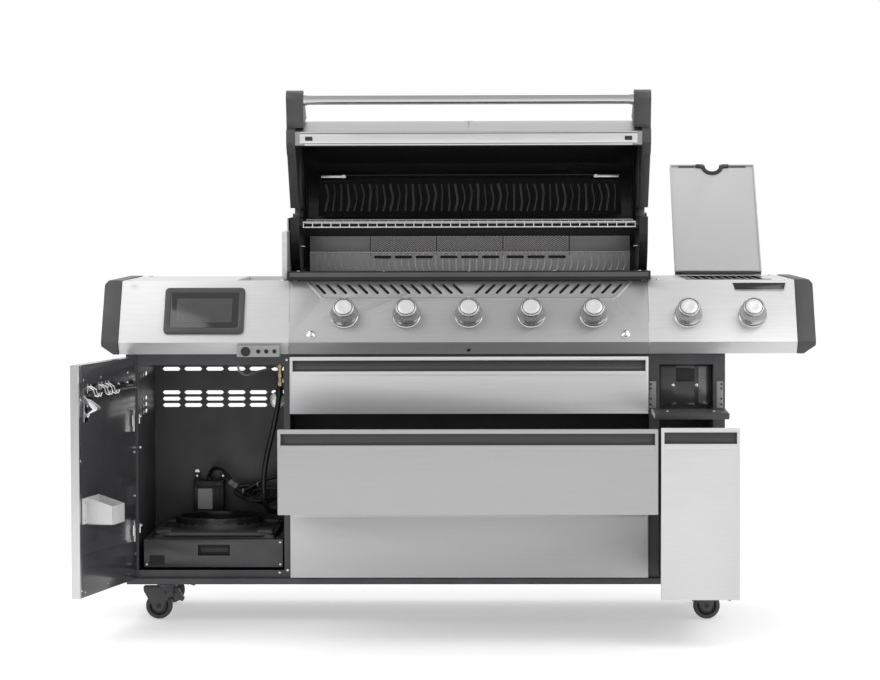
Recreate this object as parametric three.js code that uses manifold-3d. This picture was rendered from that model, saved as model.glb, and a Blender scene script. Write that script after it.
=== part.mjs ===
// A six-burner gas barbecue grill on a wheeled cabinet, with shelves, a side burner and a hinged lid.
// Millimetres, +X to the right, +Y to the back, +Z up. It is drawn about its own design origin: X = 0 in
// the middle of the firebox, Y = 0 on the drawer fronts and Z = 0 on the floor. The last lines centre it.
import * as THREE from "three";
import { mergeVertices } from "three/addons/utils/BufferGeometryUtils.js";
import Module from "manifold-3d";

const wasm = await Module();
wasm.setup();

// ---------------------------------------------------------------- driving dimensions
const GAP = 0.3; // clearance between touching pieces
const SHEET = 2; // folded sheet steel
const FRONT = 22; // thickness of the drawer fronts and the door
const FACE = 25; // Y of the cabinet's front faces, behind the fronts
const CAB = { left: -943, right: 702, back: 471, bottom: 103, floor: 125, top: 737 };
const SIDE = 32; // thickness of the double-walled side panels
const STACK = 491; // half width of the wide drawers
const FIREBOX = { half: 475, wall: 5, front: 90, rimFront: 60, back: 492, floor: 775, rim: 962, top: 1095 };
const SHELF = { inner: 493.3, left: 958, right: 896, top: 936, back: 590 };
const CAP = { left: 1006, right: 946 };
const PANEL_TOP = [85, 934]; // Y and Z of the panel's upper edge
const PANEL_CREASE = [-20, 770];
const PANEL_BOTTOM = [3, 737];
const KNOB_X = [-342, -171, 0, 171, 342, 601, 777];
const KNOB_DOWN = 112.5; // from the panel's upper edge, down the slope
const KNOB_RADIUS = 31;
const PANEL_SLOTS = {
  count: 14, first: -408, pitch: 29.05, lean: 11.3, upper: -12, lower: -37.5, radius: 4,
};
const PIVOT = { y: 415, z: 1110 }; // main lid
const LID_OPEN = 50; // degrees
const SIDE_LID = { left: 593, right: 843, hingeY: 500, hingeZ: 946, length: 410, open: 131 };
const LEFT_LID = { hingeX: -518.5, hingeZ: 938, thick: 15, wide: 133, front: 110, back: 570 };
const DOOR = { hingeX: -934, hingeY: 2, width: 436, bottom: 120, top: 730, open: 103 };
const TRAVEL = 490; // of the wide drawers and the pull-out
const FLAP = { left: 499, right: 702, bottom: 573, top: 729, thick: 12, hinge: 2.5, open: 91 };
const WHEEL = { radius: 37, width: 26, offset: 22 };
const CASTERS = { left: -838, right: 677, front: 70, back: 405 };

// ---------------------------------------------------------------- materials
const metal = (color, roughness) => new THREE.MeshStandardMaterial({ color, roughness, metalness: 1 });
const plain = (color, roughness) => new THREE.MeshStandardMaterial({ color, roughness, metalness: 0 });
const stainless = () => metal(0xc4c4c2, 0.35);
const chrome = () => metal(0xdedede, 0.12);
const charcoal = () => plain(0x3b3c3e, 0.5);
const castGrey = () => plain(0x4a4b4d, 0.45);
const blackSteel = () => plain(0x161616, 0.6);
const blackPlastic = () => plain(0x1a1a1b, 0.45);
const rubber = () => plain(0x2b2b2c, 0.8);

// ---------------------------------------------------------------- solids
const grill = new THREE.Group();

function solid(geometry) {
  const plainGeometry = geometry.clone();
  plainGeometry.deleteAttribute("normal");
  plainGeometry.deleteAttribute("uv");
  const merged = mergeVertices(plainGeometry, 1e-3);
  const corner = merged.index.array;
  const kept = [];
  for (let i = 0; i < corner.length; i += 3) {
    const [a, b, c] = [corner[i], corner[i + 1], corner[i + 2]];
    if (a !== b && b !== c && c !== a) kept.push(a, b, c);
  }
  const vertProperties = new Float32Array(merged.attributes.position.array);
  const mesh = new wasm.Mesh({ numProp: 3, vertProperties, triVerts: new Uint32Array(kept) });
  return new wasm.Manifold(mesh);
}

function geometryOf(manifold) {
  const mesh = manifold.getMesh();
  const geometry = new THREE.BufferGeometry();
  geometry.setAttribute("position", new THREE.BufferAttribute(new Float32Array(mesh.vertProperties), 3));
  geometry.setIndex(new THREE.BufferAttribute(new Uint32Array(mesh.triVerts), 1));
  geometry.computeVertexNormals();
  return geometry;
}

const join = (...pieces) => geometryOf(pieces.map(solid).reduce((sum, piece) => sum.add(piece)));

function cut(base, ...tools) {
  return geometryOf(tools.map(solid).reduce((rest, tool) => rest.subtract(tool), solid(base)));
}

function box(x0, x1, y0, y1, z0, z1) {
  const geometry = new THREE.BoxGeometry(x1 - x0, y1 - y0, z1 - z0);
  return geometry.translate((x0 + x1) / 2, (y0 + y1) / 2, (z0 + z1) / 2);
}

const outline = (points) => new THREE.Shape(points.map(([x, y]) => new THREE.Vector2(x, y)));

function extruded(shape, depth) {
  return new THREE.ExtrudeGeometry(shape, { depth, bevelEnabled: false, curveSegments: 4 });
}

// An outline in (Y, Z), extruded along X.
function alongX(points, x0, x1) {
  const turn = new THREE.Matrix4().makeBasis(
    new THREE.Vector3(0, 1, 0),
    new THREE.Vector3(0, 0, 1),
    new THREE.Vector3(1, 0, 0),
  );
  return extruded(outline(points), x1 - x0).applyMatrix4(turn).translate(x0, 0, 0);
}

// An outline in (X, Z), extruded along Y.
function alongY(points, y0, y1) {
  return extruded(outline(points), y1 - y0).rotateX(Math.PI / 2).translate(0, y1, 0);
}

// A profile of (radius, height) points spun about Z, open ends closed by the axis.
const spun = (profile, sides) =>
  new THREE.LatheGeometry(profile.map(([r, h]) => new THREE.Vector2(r, h)), sides).rotateX(Math.PI / 2);

function rod(from, to, radius, sides = 10) {
  const start = new THREE.Vector3(...from);
  const way = new THREE.Vector3(...to).sub(start);
  const geometry = new THREE.CylinderGeometry(radius, radius, way.length(), sides);
  const turn = new THREE.Quaternion().setFromUnitVectors(new THREE.Vector3(0, 1, 0), way.clone().normalize());
  return geometry.applyQuaternion(turn).translate(...start.addScaledVector(way, 0.5).toArray());
}

function tube(points, radius, steps, sides = 8) {
  const path = new THREE.CatmullRomCurve3(points.map((point) => new THREE.Vector3(...point)));
  const ring = [];
  for (let i = 0; i < sides; i += 1) {
    const turn = (i / sides) * 2 * Math.PI;
    ring.push([radius * Math.cos(turn), radius * Math.sin(turn)]);
  }
  return new THREE.ExtrudeGeometry(outline(ring), { extrudePath: path, steps, bevelEnabled: false });
}

function roundedRectangle(width, height, radius) {
  const [w, h] = [width / 2, height / 2];
  const shape = new THREE.Shape();
  shape.moveTo(-w + radius, -h);
  shape.lineTo(w - radius, -h);
  shape.absarc(w - radius, -h + radius, radius, -Math.PI / 2, 0, false);
  shape.absarc(w - radius, h - radius, radius, 0, Math.PI / 2, false);
  shape.absarc(-w + radius, h - radius, radius, Math.PI / 2, Math.PI, false);
  shape.absarc(-w + radius, -h + radius, radius, Math.PI, 1.5 * Math.PI, false);
  return shape;
}

function add(name, geometry, material, parent = grill) {
  const mesh = new THREE.Mesh(geometry, material);
  mesh.name = name;
  parent.add(mesh);
  return mesh;
}

function turnedGroup(x, y, z, axis, degrees) {
  const group = new THREE.Group();
  group.position.set(x, y, z);
  group.rotation[axis] = THREE.MathUtils.degToRad(degrees);
  grill.add(group);
  return group;
}

const circle = (y, z, radius, sides = 20, from = 0, to = 360) => {
  const points = [];
  const whole = to - from === 360;
  for (let i = 0; i < (whole ? sides : sides + 1); i += 1) {
    const angle = THREE.MathUtils.degToRad(from + ((to - from) * i) / sides);
    points.push([y + radius * Math.cos(angle), z + radius * Math.sin(angle)]);
  }
  return points;
};

// Points of an open profile moved sideways, to its left for a positive distance.
function offset(points, distance) {
  return points.map(([y, z], i) => {
    const before = points[Math.max(i - 1, 0)];
    const after = points[Math.min(i + 1, points.length - 1)];
    const run = Math.hypot(after[0] - before[0], after[1] - before[1]);
    return [y - (distance * (after[1] - before[1])) / run, z + (distance * (after[0] - before[0])) / run];
  });
}

const ordered = (a, b) => [Math.min(a, b), Math.max(a, b)];

// A span of X from near to far, on the left for side -1 and on the right for side 1.
const spanOn = (side, near, far) => ordered(side * near, side * far);

// ---------------------------------------------------------------- cabinet
const VENT = { length: 52, height: 11, pitch: 62.8, rows: [566, 584.5, 603, 671] };

function ventSlots(makeSlot, first, count) {
  const slots = [];
  for (const z of VENT.rows) {
    for (let i = 0; i < count; i += 1) slots.push(makeSlot(first + i * VENT.pitch, z));
  }
  return slots;
}

// A slot is a flat hexagon, so that its ends look round.
function slotOutline(start, z) {
  const [half, end] = [VENT.height / 2, start + VENT.length];
  return [
    [start, z],
    [start + half, z - half],
    [end - half, z - half],
    [end, z],
    [end - half, z + half],
    [start + half, z + half],
  ];
}

function cabinetFrame() {
  const { left, right, back, bottom, floor, top } = CAB;
  const tray = cut(
    box(left, right, FACE, back, bottom, floor),
    box(left + SIDE, right - SIDE, FACE + 25, back - 20, bottom + 3, floor + 1),
  );
  const toeRail = box(left, right, 5, FACE + 1, bottom, 119);
  const lip = box(left + SIDE + GAP, -509, FACE, FACE + 15, floor - 1, 140);
  const rail = box(left + SIDE + GAP, right - SIDE - GAP, FACE + 1, FACE + 16, 706, top);
  const flapBin = openBox(521, 668, 82, 300, 600, 702, SHEET);
  return join(tray, toeRail, lip, rail, partition(-509, -492, 1), partition(494, 522, -1), flapBin);
}

// A folded C section that stands between the base and the cabinet's top, open to one side.
function partition(x0, x1, openTo) {
  const wall = openTo > 0 ? x0 : x1 - SHEET;
  const web = box(wall, wall + SHEET, FACE, CAB.back - 6, CAB.floor - 1, CAB.top);
  const face = box(x0, x1, FACE, FACE + SHEET, CAB.floor - 1, CAB.top);
  return join(web, face);
}

// Two sheets and a front flange, open at the back, with the vent slots through both sheets.
function sidePanel(outer, inward) {
  const across = (a, b) => ordered(outer + inward * a, outer + inward * b);
  const [z0, z1] = [CAB.floor + GAP, CAB.top];
  const body = cut(
    box(...across(0, SIDE), FACE, CAB.back - GAP, z0, z1),
    box(...across(SHEET, SIDE - SHEET), FACE + SHEET, CAB.back + 1, z0 - 1, z1 + 1),
  );
  const slots = ventSlots((start, z) => alongX(slotOutline(start, z), ...across(-1, SIDE + 1)), 90, 3);
  return cut(body, ...slots);
}

function backPanel() {
  const [left, right] = [CAB.left + SIDE + GAP, CAB.right - SIDE - GAP];
  const sheet = box(left, right, CAB.back - 5, CAB.back, CAB.floor + GAP, CAB.top);
  const makeSlot = (start, z) => alongY(slotOutline(start, z), CAB.back - 6, CAB.back + 1);
  return cut(sheet, ...ventSlots(makeSlot, -890, 6), ...ventSlots(makeSlot, 530, 2));
}

// ---------------------------------------------------------------- drawers
// A flat front with a full-width finger recess below its top edge, drawn from z0 to z1.
function recessedFront(x0, x1, z0, z1) {
  const slab = box(x0, x1, 0, FRONT, z0, z1);
  const recess = alongX(
    [
      [-1, z1 - 10],
      [-1, z1 - 51],
      [3, z1 - 48],
      [16, z1 - 38],
      [16, z1 - 10],
    ],
    x0 + 8,
    x1 - 8,
  );
  const behindRecess = box(x0 + SHEET, x1 - SHEET, 18, FRONT + 1, z1 - 52, z1 - SHEET);
  const behindFace = box(x0 + SHEET, x1 - SHEET, SHEET, FRONT + 1, z0 + SHEET, z1 - 52);
  return cut(slab, recess, behindRecess, behindFace);
}

function openBox(x0, x1, y0, y1, z0, z1, wall) {
  const inside = box(x0 + wall, x1 - wall, y0 + wall, y1 - wall, z0 + wall, z1 + 1);
  return cut(box(x0, x1, y0, y1, z0, z1), inside);
}

// A pair of telescopic runners under a box, tied by the rod that keeps them level.
function runners(x0, x1, y0, y1, z) {
  const leftRail = box(x0, x0 + 9, y0, y1, z, z + 30);
  const rightRail = box(x1 - 9, x1, y0, y1, z, z + 30);
  const tie = box(x0 + 1, x1 - 1, y1 - 20, y1 - 14, z + 2, z + 8);
  return join(leftRail, rightRail, tie);
}

const DRAWERS = [
  { name: "top_drawer", z0: 573, z1: 729, boxHeight: 90, open: 0 },
  { name: "middle_drawer", z0: 346, z1: 566, boxHeight: 150, open: TRAVEL },
  { name: "bottom_drawer", z0: 122, z1: 341, boxHeight: 150, open: 0 },
];
const BOX_BACK = 455;

function addDrawer({ name, z0, z1, boxHeight, open }, faceX, boxX) {
  const base = Math.max(z0 + 12, CAB.floor + 12);
  const front = new THREE.Group();
  front.position.y = -open;
  const rails = new THREE.Group();
  rails.position.y = -open / 2;
  grill.add(front, rails);
  add(`${name}_front`, recessedFront(...faceX, z0, z1), stainless(), front);
  const drawerBox = openBox(...boxX, FRONT + GAP, BOX_BACK, base, base + boxHeight, SHEET);
  add(`${name}_box`, drawerBox, charcoal(), front);
  const railGeometry = runners(boxX[0] - 10, boxX[1] + 10, FACE + 5, BOX_BACK, base - 9);
  add(`${name}_runners`, railGeometry, metal(0x8d8f90, 0.35), rails);
}

// ---------------------------------------------------------------- door, flap and tank tray
function addDoor() {
  const hinge = turnedGroup(DOOR.hingeX, DOOR.hingeY, 0, "z", -DOOR.open);
  const inside = FRONT - DOOR.hingeY;
  const slab = box(1, 1 + DOOR.width, -DOOR.hingeY, inside, DOOR.bottom, DOOR.top);
  const hollow = box(3, DOOR.width - 1, 0, inside - SHEET, DOOR.bottom + SHEET, DOOR.top - SHEET);
  const drain = box(20, DOOR.width - 20, inside - 3, inside + 1, DOOR.bottom + 4, DOOR.bottom + 10);
  add("left_door", cut(slab, hollow, drain), stainless(), hinge);
}

function addFlap() {
  const { left, right, bottom, top, thick, hinge: pin, open } = FLAP;
  const hinge = turnedGroup(0, pin, bottom + pin, "x", open);
  const height = top - bottom;
  const slab = box(left, right, -pin, thick - pin, -pin, height - pin);
  const hollow = box(left + SHEET, right - SHEET, SHEET - pin, thick, SHEET - pin, height - pin - SHEET);
  const lip = box(left + 24, right - 24, 1 - pin, thick - pin, 38, 40);
  add("drop_flap", join(cut(slab, hollow), lip), stainless(), hinge);
}

function tankTray() {
  const [x0, x1, y0, y1, z0, z1] = [-897, -514, FACE + 3, 452, 148, 224];
  const tray = cut(box(x0, x1, y0, y1, z0, z1), box(x0 + 2, x1 - 2, y0 + 2, y1 - 2, z0 - 1, z1 - 2));
  const gripX = [-748, -660];
  const gripPocket = box(gripX[0] - 3, gripX[1] + 3, y0 + 1, y0 + 20, 176, 214);
  const grip = box(...gripX, y0 - 1, y0 + 17, 180, 210);
  const plate = alongY(
    [
      [-870, z1 - 1],
      [-545, z1 - 1],
      [-540, z1 + 6],
      [-570, z1 + 13],
      [-620, z1 + 16],
      [-795, z1 + 16],
      [-845, z1 + 13],
      [-875, z1 + 6],
    ],
    70,
    430,
  );
  const ring = spun(
    [
      [0, 0],
      [128, 0],
      [122, 43],
      [114, 43],
      [110, 10],
      [0, 10],
    ],
    28,
  ).translate(-707, 250, z1 + 1);
  const well = rod([-707, 250, z1 + 11], [-707, 250, z1 + 60], 110, 28);
  return cut(join(tray, gripPocket, plate, ring), grip, well);
}

// ---------------------------------------------------------------- firebox
function sector(radius, inner, from, to) {
  const outer = circle(PIVOT.y, PIVOT.z, radius, 16, from, to);
  const hub = circle(PIVOT.y, PIVOT.z, inner, 6, from, to).reverse();
  return [...outer, ...hub];
}

// The two upright cheeks that carry the lid's pivot pins stand on the firebox's side flanges.
function lidSupport(side) {
  const { y, z } = PIVOT;
  const below = box(...spanOn(side, 470, 505), 100, 620, 800, 958);
  const cheek = cut(alongX(sector(212, 30, 180, 286), ...spanOn(side, 482, 500)), below);
  const innerCheek = cut(alongX(sector(212, 2, 180, 286), ...spanOn(side, 476, 482.7)), below);
  const hub = alongX(circle(y, z, 26, 16), ...spanOn(side, 476, 482.7));
  const pin = rod([side * 476, y, z], [side * 503, y, z], 8, 12);
  return join(cheek, innerCheek, hub, pin);
}

function firebox() {
  const { half, wall, front, rimFront: lipFront, back, floor, rim, top } = FIREBOX;
  const sides = [-1, 1];
  const shell = cut(
    box(-half, half, front, back, floor, rim),
    box(wall - half, half - wall, front + wall, back - wall, floor + 4, rim + 1),
    box(-360, 360, 170, 400, floor - 1, floor + 5),
  );
  const ports = KNOB_X.slice(0, 5).map((x) => box(x - 15, x + 15, front - 1, front + wall + 1, 820, 850));
  const foot = CAB.top + GAP;
  const skirts = sides.map((side) => box(...spanOn(side, half - 4, half), front, back, foot, floor + 1));
  const feet = sides.map((side) => box(...spanOn(side, half - 4, 505), 100, 460, CAB.top + GAP, 741));
  const backWall = box(-half, half, back - 5, back, rim - 1, top);
  const rimFront = box(-500, 500, lipFront, front + wall, 937.5, rim);
  const rimSides = sides.map((side) => box(...spanOn(side, half - 1, 500), lipFront, back, 937.5, 960));
  const body = cut(shell, ...ports);
  return join(body, ...skirts, ...feet, backWall, rimFront, ...rimSides, lidSupport(-1), lidSupport(1));
}

function burnerSet() {
  const manifold = box(-420, 420, 36, 52, 827, 843);
  const pieces = [manifold];
  for (const x of KNOB_X.slice(0, 5)) {
    pieces.push(box(x - 12, x + 12, 51, 470, 824, 846));
    pieces.push(box(x - 10, x + 10, 33, 40, 826, 842));
  }
  return join(...pieces);
}

function heatPlates() {
  const pieces = [box(-462, 462, 98, 104, 872, 880), box(-462, 462, 464, 470, 872, 880)];
  for (const x of KNOB_X.slice(0, 5)) {
    const tent = [
      [x - 40, 868],
      [x - 38, 868],
      [x, 894],
      [x + 38, 868],
      [x + 40, 868],
      [x, 897],
    ];
    pieces.push(alongY(tent, 100, 468));
  }
  return join(...pieces);
}

function cookingGrid(centre) {
  const [half, y0, y1, z] = [154, 98, 428, 944];
  const bars = [
    box(centre - half, centre + half, y0, y0 + 8, z, z + 8),
    box(centre - half, centre + half, y1 - 8, y1, z, z + 8),
  ];
  const rodCount = 11;
  for (let i = 0; i < rodCount; i += 1) {
    const x = centre - half + 4 + (i * (2 * half - 8)) / (rodCount - 1);
    bars.push(box(x - 4, x + 4, y0 + 4, y1 - 4, z, z + 8));
  }
  return join(...bars);
}

function rearBurner() {
  const outer = [
    [486, 950],
    [486, 1053],
    [452, 1053],
    [450, 1007],
    [434, 953],
    [434, 950],
  ];
  const hollow = [
    [487, 953],
    [487, 1050],
    [455, 1050],
    [453, 1007],
    [438, 953],
  ];
  const body = cut(alongX(outer, -460, 460), alongX(hollow, -457, 457));
  const slots = [];
  for (let section = -1; section <= 1; section += 1) {
    for (let i = -1; i <= 1; i += 1) {
      const x = section * 190.7 + i * 60;
      slots.push(box(x - 24, x + 24, 425, 458, 990, 998));
    }
  }
  return cut(body, ...slots);
}

function warmingRack() {
  const [left, right] = [-475.5, 475.5];
  const wires = [
    box(left, right, 228, 233, 1081.5, 1097),
    box(left, right, 398, 403, 1092, 1097),
    box(left, right, 313, 318, 1088, 1093),
  ];
  const tieCount = 19;
  for (let i = 0; i < tieCount; i += 1) {
    const x = left + 3 + (i * (right - left - 6)) / (tieCount - 1);
    wires.push(box(x - 2, x + 2, 229, 402, 1090.5, 1093.5));
  }
  return join(...wires);
}

const dripPan = () => openBox(-440, 440, 100, 470, 742, 764, SHEET);

// ---------------------------------------------------------------- control panel and shelves
const SLOPE_ANGLE = 57.4; // degrees between the floor and the panel's slope

function panelSection(thickness) {
  const outer = [PANEL_BOTTOM, PANEL_CREASE, PANEL_TOP];
  const inner = [
    [PANEL_TOP[0] + 1, PANEL_TOP[1] - 2.4 * thickness],
    [PANEL_CREASE[0] + 1.15 * thickness, PANEL_CREASE[1]],
    [PANEL_BOTTOM[0] + thickness, PANEL_BOTTOM[1] + thickness],
    [PANEL_BOTTOM[0] + 30, PANEL_BOTTOM[1] + thickness],
    [PANEL_BOTTOM[0] + 30, PANEL_BOTTOM[1]],
  ];
  return [...outer.slice().reverse(), ...inner.slice().reverse()].reverse();
}

// Slanted, round-ended slots in two mirrored rows, cut square through the slope.
function slopeSlot(x, lean) {
  const { upper, lower, radius } = PANEL_SLOTS;
  const top = new THREE.Vector2(x - lean, upper);
  const bottom = new THREE.Vector2(x + lean, lower);
  const angle = THREE.MathUtils.radToDeg(bottom.clone().sub(top).angle());
  const lowerEnd = circle(bottom.x, bottom.y, radius, 3, angle - 90, angle + 90);
  const upperEnd = circle(top.x, top.y, radius, 3, angle + 90, angle + 270);
  const slot = extruded(outline([...lowerEnd, ...upperEnd]), 20).translate(0, 0, -10);
  return slot.rotateX(THREE.MathUtils.degToRad(SLOPE_ANGLE)).translate(0, ...PANEL_TOP);
}

function controlPanel() {
  const { count, first, pitch, lean } = PANEL_SLOTS;
  const sheet = alongX(panelSection(3), -492.7, 492.7);
  const slots = [];
  for (let i = 0; i < count; i += 1) {
    slots.push(slopeSlot(first + pitch * i, lean));
    slots.push(slopeSlot(-first - pitch * i, -lean));
  }
  return cut(sheet, ...slots);
}

function shelfSection() {
  const wall = 3;
  return [
    PANEL_BOTTOM,
    PANEL_CREASE,
    [PANEL_TOP[0], SHELF.top],
    [SHELF.back, SHELF.top],
    [SHELF.back, 800],
    [SHELF.back - wall, 800],
    [SHELF.back - wall, SHELF.top - wall],
    [PANEL_TOP[0] + 2, SHELF.top - wall],
    [PANEL_CREASE[0] + 1.2 * wall, PANEL_CREASE[1]],
    [PANEL_BOTTOM[0] + wall, PANEL_BOTTOM[1] + wall],
    [PANEL_BOTTOM[0] + 30, PANEL_BOTTOM[1] + wall],
    [PANEL_BOTTOM[0] + 30, PANEL_BOTTOM[1]],
  ].reverse();
}

function endPlate(x0, x1) {
  return alongX(
    [
      [PANEL_BOTTOM[0] + 1, PANEL_BOTTOM[1] + 1],
      [SHELF.back - 1, 801],
      [SHELF.back - 1, SHELF.top - 1],
      [PANEL_TOP[0] + 1, SHELF.top - 1],
      [PANEL_CREASE[0] + 1, PANEL_CREASE[1]],
    ],
    x0,
    x1,
  );
}

function leftShelf() {
  const [x0, x1] = [-SHELF.left, -SHELF.inner];
  const body = join(alongX(shelfSection(), x0, x1), endPlate(x0, x0 + 3));
  const well = { x0: -645, x1: -525, y0: 120, y1: 560 };
  const hole = box(well.x0, well.x1, well.y0, well.y1, 900, 940);
  const pan = openBox(well.x0 - 2, well.x1 + 2, well.y0 - 2, well.y1 + 2, 846, SHELF.top - 1, SHEET);
  return join(cut(body, hole), pan);
}

function rightShelf() {
  const [x0, x1] = [SHELF.inner, SHELF.right];
  const body = join(alongX(shelfSection(), x0, x1), endPlate(x1 - 3, x1));
  return cut(body, box(606, 830, 112, 478, 900, 940));
}

function sideBurner() {
  const tub = openBox(606 + GAP, 830 - GAP, 112 + GAP, 478 - GAP, 872, SHELF.top + 1.5, SHEET);
  const flangePlate = box(600, 836, 106, 484, SHELF.top + GAP, SHELF.top + 1.5);
  const flange = cut(flangePlate, box(620, 816, 126, 464, 930, 940));
  const burner = box(640, 796, 180, 410, 873, 915);
  const bars = [];
  for (let i = 0; i < 9; i += 1) {
    const x = 634 + i * 21;
    bars.push(box(x - 3, x + 3, 113, 477, 926, 932));
  }
  const rails = [box(608, 829, 240, 246, 926, 931), box(608, 829, 344, 350, 926, 931)];
  return join(tub, flange, burner, ...bars, ...rails);
}

// A hollow cap on a shelf's outer end, with the panel's outline and chamfered outer edges.
function endCap(inner, outer) {
  const side = Math.sign(outer);
  const rimPoints = [
    [PANEL_BOTTOM[0] - 1, PANEL_BOTTOM[1] - 1],
    [SHELF.back + 2, 795],
    [SHELF.back + 2, SHELF.top + 2],
    [PANEL_TOP[0] - 1, SHELF.top + 2],
    [PANEL_CREASE[0] - 2, PANEL_CREASE[1]],
  ];
  const middle = [280, 860];
  const shrunk = (value, about, by) => about + (value - about) * by;
  const scaled = (by) => rimPoints.map(([y, z]) => [shrunk(y, middle[0], by), shrunk(z, middle[1], by)]);
  const [near, far] = [Math.abs(inner) + GAP, Math.abs(outer)];
  const block = alongX(rimPoints, ...spanOn(side, near, far));
  const hollow = alongX(scaled(0.965), ...spanOn(side, near - 1, far - 5));
  const lower = cornerCut(side, far, PANEL_BOTTOM[1] - 6, 30, 38);
  const upper = cornerCut(side, far, SHELF.top + 6, -18, 14);
  return cut(block, hollow, lower, upper);
}

function cornerCut(side, far, z, rise, reach) {
  const points = [
    [side * (far + 2), z],
    [side * (far + 2), z + rise],
    [side * (far - reach), z],
  ];
  const facing = side * rise > 0 ? points : points.slice().reverse();
  return alongY(facing, -60, 640);
}

// ---------------------------------------------------------------- lid
const LID_PROFILE = [
  [-6, 973],
  [34, 1060],
  [75, 1120],
  [130, 1180],
  [200, 1235],
  [290, 1275],
  [380, 1290],
  [470, 1265],
  [540, 1205],
  [575, 1100],
];
const LID_WALL = 10;

function lidCurve(divisions) {
  const curve = new THREE.SplineCurve(LID_PROFILE.map(([y, z]) => new THREE.Vector2(y, z)));
  return curve.getPoints(divisions).map((point) => [point.x, point.y]);
}

const aboutPivot = (geometry) => geometry.translate(0, -PIVOT.y, -PIVOT.z);

function lidShell() {
  const outer = lidCurve(22);
  const inner = offset(outer, -LID_WALL);
  const section = [[22, 950], ...outer, ...inner.slice(1).reverse(), [12, 976], [31, 956]];
  const skin = offset(outer, -SHEET).slice(1, -1);
  const liner = offset(outer, SHEET - LID_WALL).slice(1, -1);
  const between = alongX([...skin, ...liner.reverse()].reverse(), -480, 480);
  return aboutPivot(cut(alongX(section.reverse(), -475.7, 475.7), between));
}

function lidCasting(side) {
  const span = (a, b) => spanOn(side, a, b);
  const edge = offset(lidCurve(22), 6);
  const clear = FIREBOX.rim + 1;
  const front = FIREBOX.rimFront - 3;
  const foot = [
    [575, 1098],
    [540, 1098],
    [540, clear],
    [front, clear],
    [front, 950],
  ];
  const whole = [[14, 950], ...edge, ...foot].reverse();
  const swing = [...circle(PIVOT.y, PIVOT.z, 215, 20, 178, 336), [PIVOT.y, PIVOT.z]];
  const far = [
    [PIVOT.y, PIVOT.z],
    [PIVOT.y + 60, PIVOT.z - 260],
    [PIVOT.y + 400, PIVOT.z - 260],
    [PIVOT.y + 400, PIVOT.z - 12],
    [PIVOT.y + 120, PIVOT.z - 12],
  ];
  const bore = alongX(circle(PIVOT.y, PIVOT.z, 9, 12), ...span(470, 510));
  const outerLayer = cut(
    alongX(whole, ...span(483, 500)),
    alongX(swing, ...span(482, 501)),
    alongX(far, ...span(482, 501)),
  );
  const hub = alongX(circle(PIVOT.y, PIVOT.z, 27), ...span(483, 500));
  const innerLayer = cut(
    alongX(whole, ...span(476, 484)),
    alongX(swing, ...span(475, 485)),
    alongX(far, ...span(475, 485)),
    alongX(circle(PIVOT.y, PIVOT.z, 30), ...span(475, 483)),
  );
  const knuckle = circle(-65, 1042, 25, 10, 250, 60).slice(1);
  const arm = [[8, 990], [-62, 1018], ...knuckle, [-30, 1085], [60, 1120]];
  const thickArm = cut(alongX(arm.reverse(), ...span(453, 484)), alongX(whole, ...span(452, 476)));
  const outerArm = alongX(arm, ...span(476, 500));
  return aboutPivot(cut(join(outerLayer, hub, innerLayer, thickArm, outerArm), bore));
}

function addLid() {
  const hinge = turnedGroup(0, PIVOT.y, PIVOT.z, "x", -LID_OPEN);
  add("lid_shell", lidShell(), stainless(), hinge);
  add("lid_casting_left", lidCasting(-1), castGrey(), hinge);
  add("lid_casting_right", lidCasting(1), castGrey(), hinge);
  const handle = rod([-452.7, -65, 1042], [452.7, -65, 1042], 15, 20);
  add("lid_handle", aboutPivot(handle), stainless(), hinge);
}

// A double-walled lid, open along its hinge edge, with a round finger notch in its free edge.
function addSideLid() {
  const { left, right, hingeY, hingeZ, length, open } = SIDE_LID;
  const hinge = turnedGroup(0, hingeY, hingeZ, "x", -open);
  const middle = (left + right) / 2;
  const notch = (radius) => rod([middle, 6 - length, -10], [middle, 6 - length, 14], radius, 24);
  const hollow = box(left + SHEET, right - SHEET, SHEET - length, 1, -2, 12 - SHEET);
  const recess = box(left + 4, right - 4, 4 - length, -4, -9, -4);
  const slab = box(left, right, -length, 0, -8, 12);
  const lid = cut(slab, cut(hollow, notch(25)), cut(recess, notch(25)), notch(22));
  add("side_burner_lid", lid, stainless(), hinge);
}

function addLeftLid() {
  const { hingeX, hingeZ, thick, wide, front, back } = LEFT_LID;
  const slab = box(hingeX + GAP, hingeX + thick, front, back, hingeZ, hingeZ + wide);
  const tab = box(hingeX + 5, hingeX + 10, 250, 430, hingeZ + wide - 1, hingeZ + wide + 37);
  add("left_shelf_lid", join(slab, tab), stainless());
}

// ---------------------------------------------------------------- knobs, display and ports
function addSlopePieces() {
  const slope = turnedGroup(0, PANEL_TOP[0], PANEL_TOP[1], "x", SLOPE_ANGLE);
  KNOB_X.forEach((x, i) => {
    const turned = spun(
      [
        [0, 2.5],
        [KNOB_RADIUS + 8, 2.5],
        [KNOB_RADIUS + 5, 10],
        [KNOB_RADIUS + 7, 17],
        [KNOB_RADIUS + 1, 27],
        [KNOB_RADIUS, 45],
        [26, 53],
        [0, 53],
      ],
      18,
    );
    const pointer = box(-2.5, 2.5, 8, 22, 52.5, 55);
    add(`knob_${i + 1}`, join(turned, pointer), chrome(), slope).position.set(x, -KNOB_DOWN, 0);
  });
  const bezel = extruded(roundedRectangle(220, 144, 12), 8);
  const screen = extruded(roundedRectangle(188, 112, 6), 4).translate(0, 0, 6);
  add("display", cut(bezel, screen), blackPlastic(), slope).position.set(-726, -97, 1);
}

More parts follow.
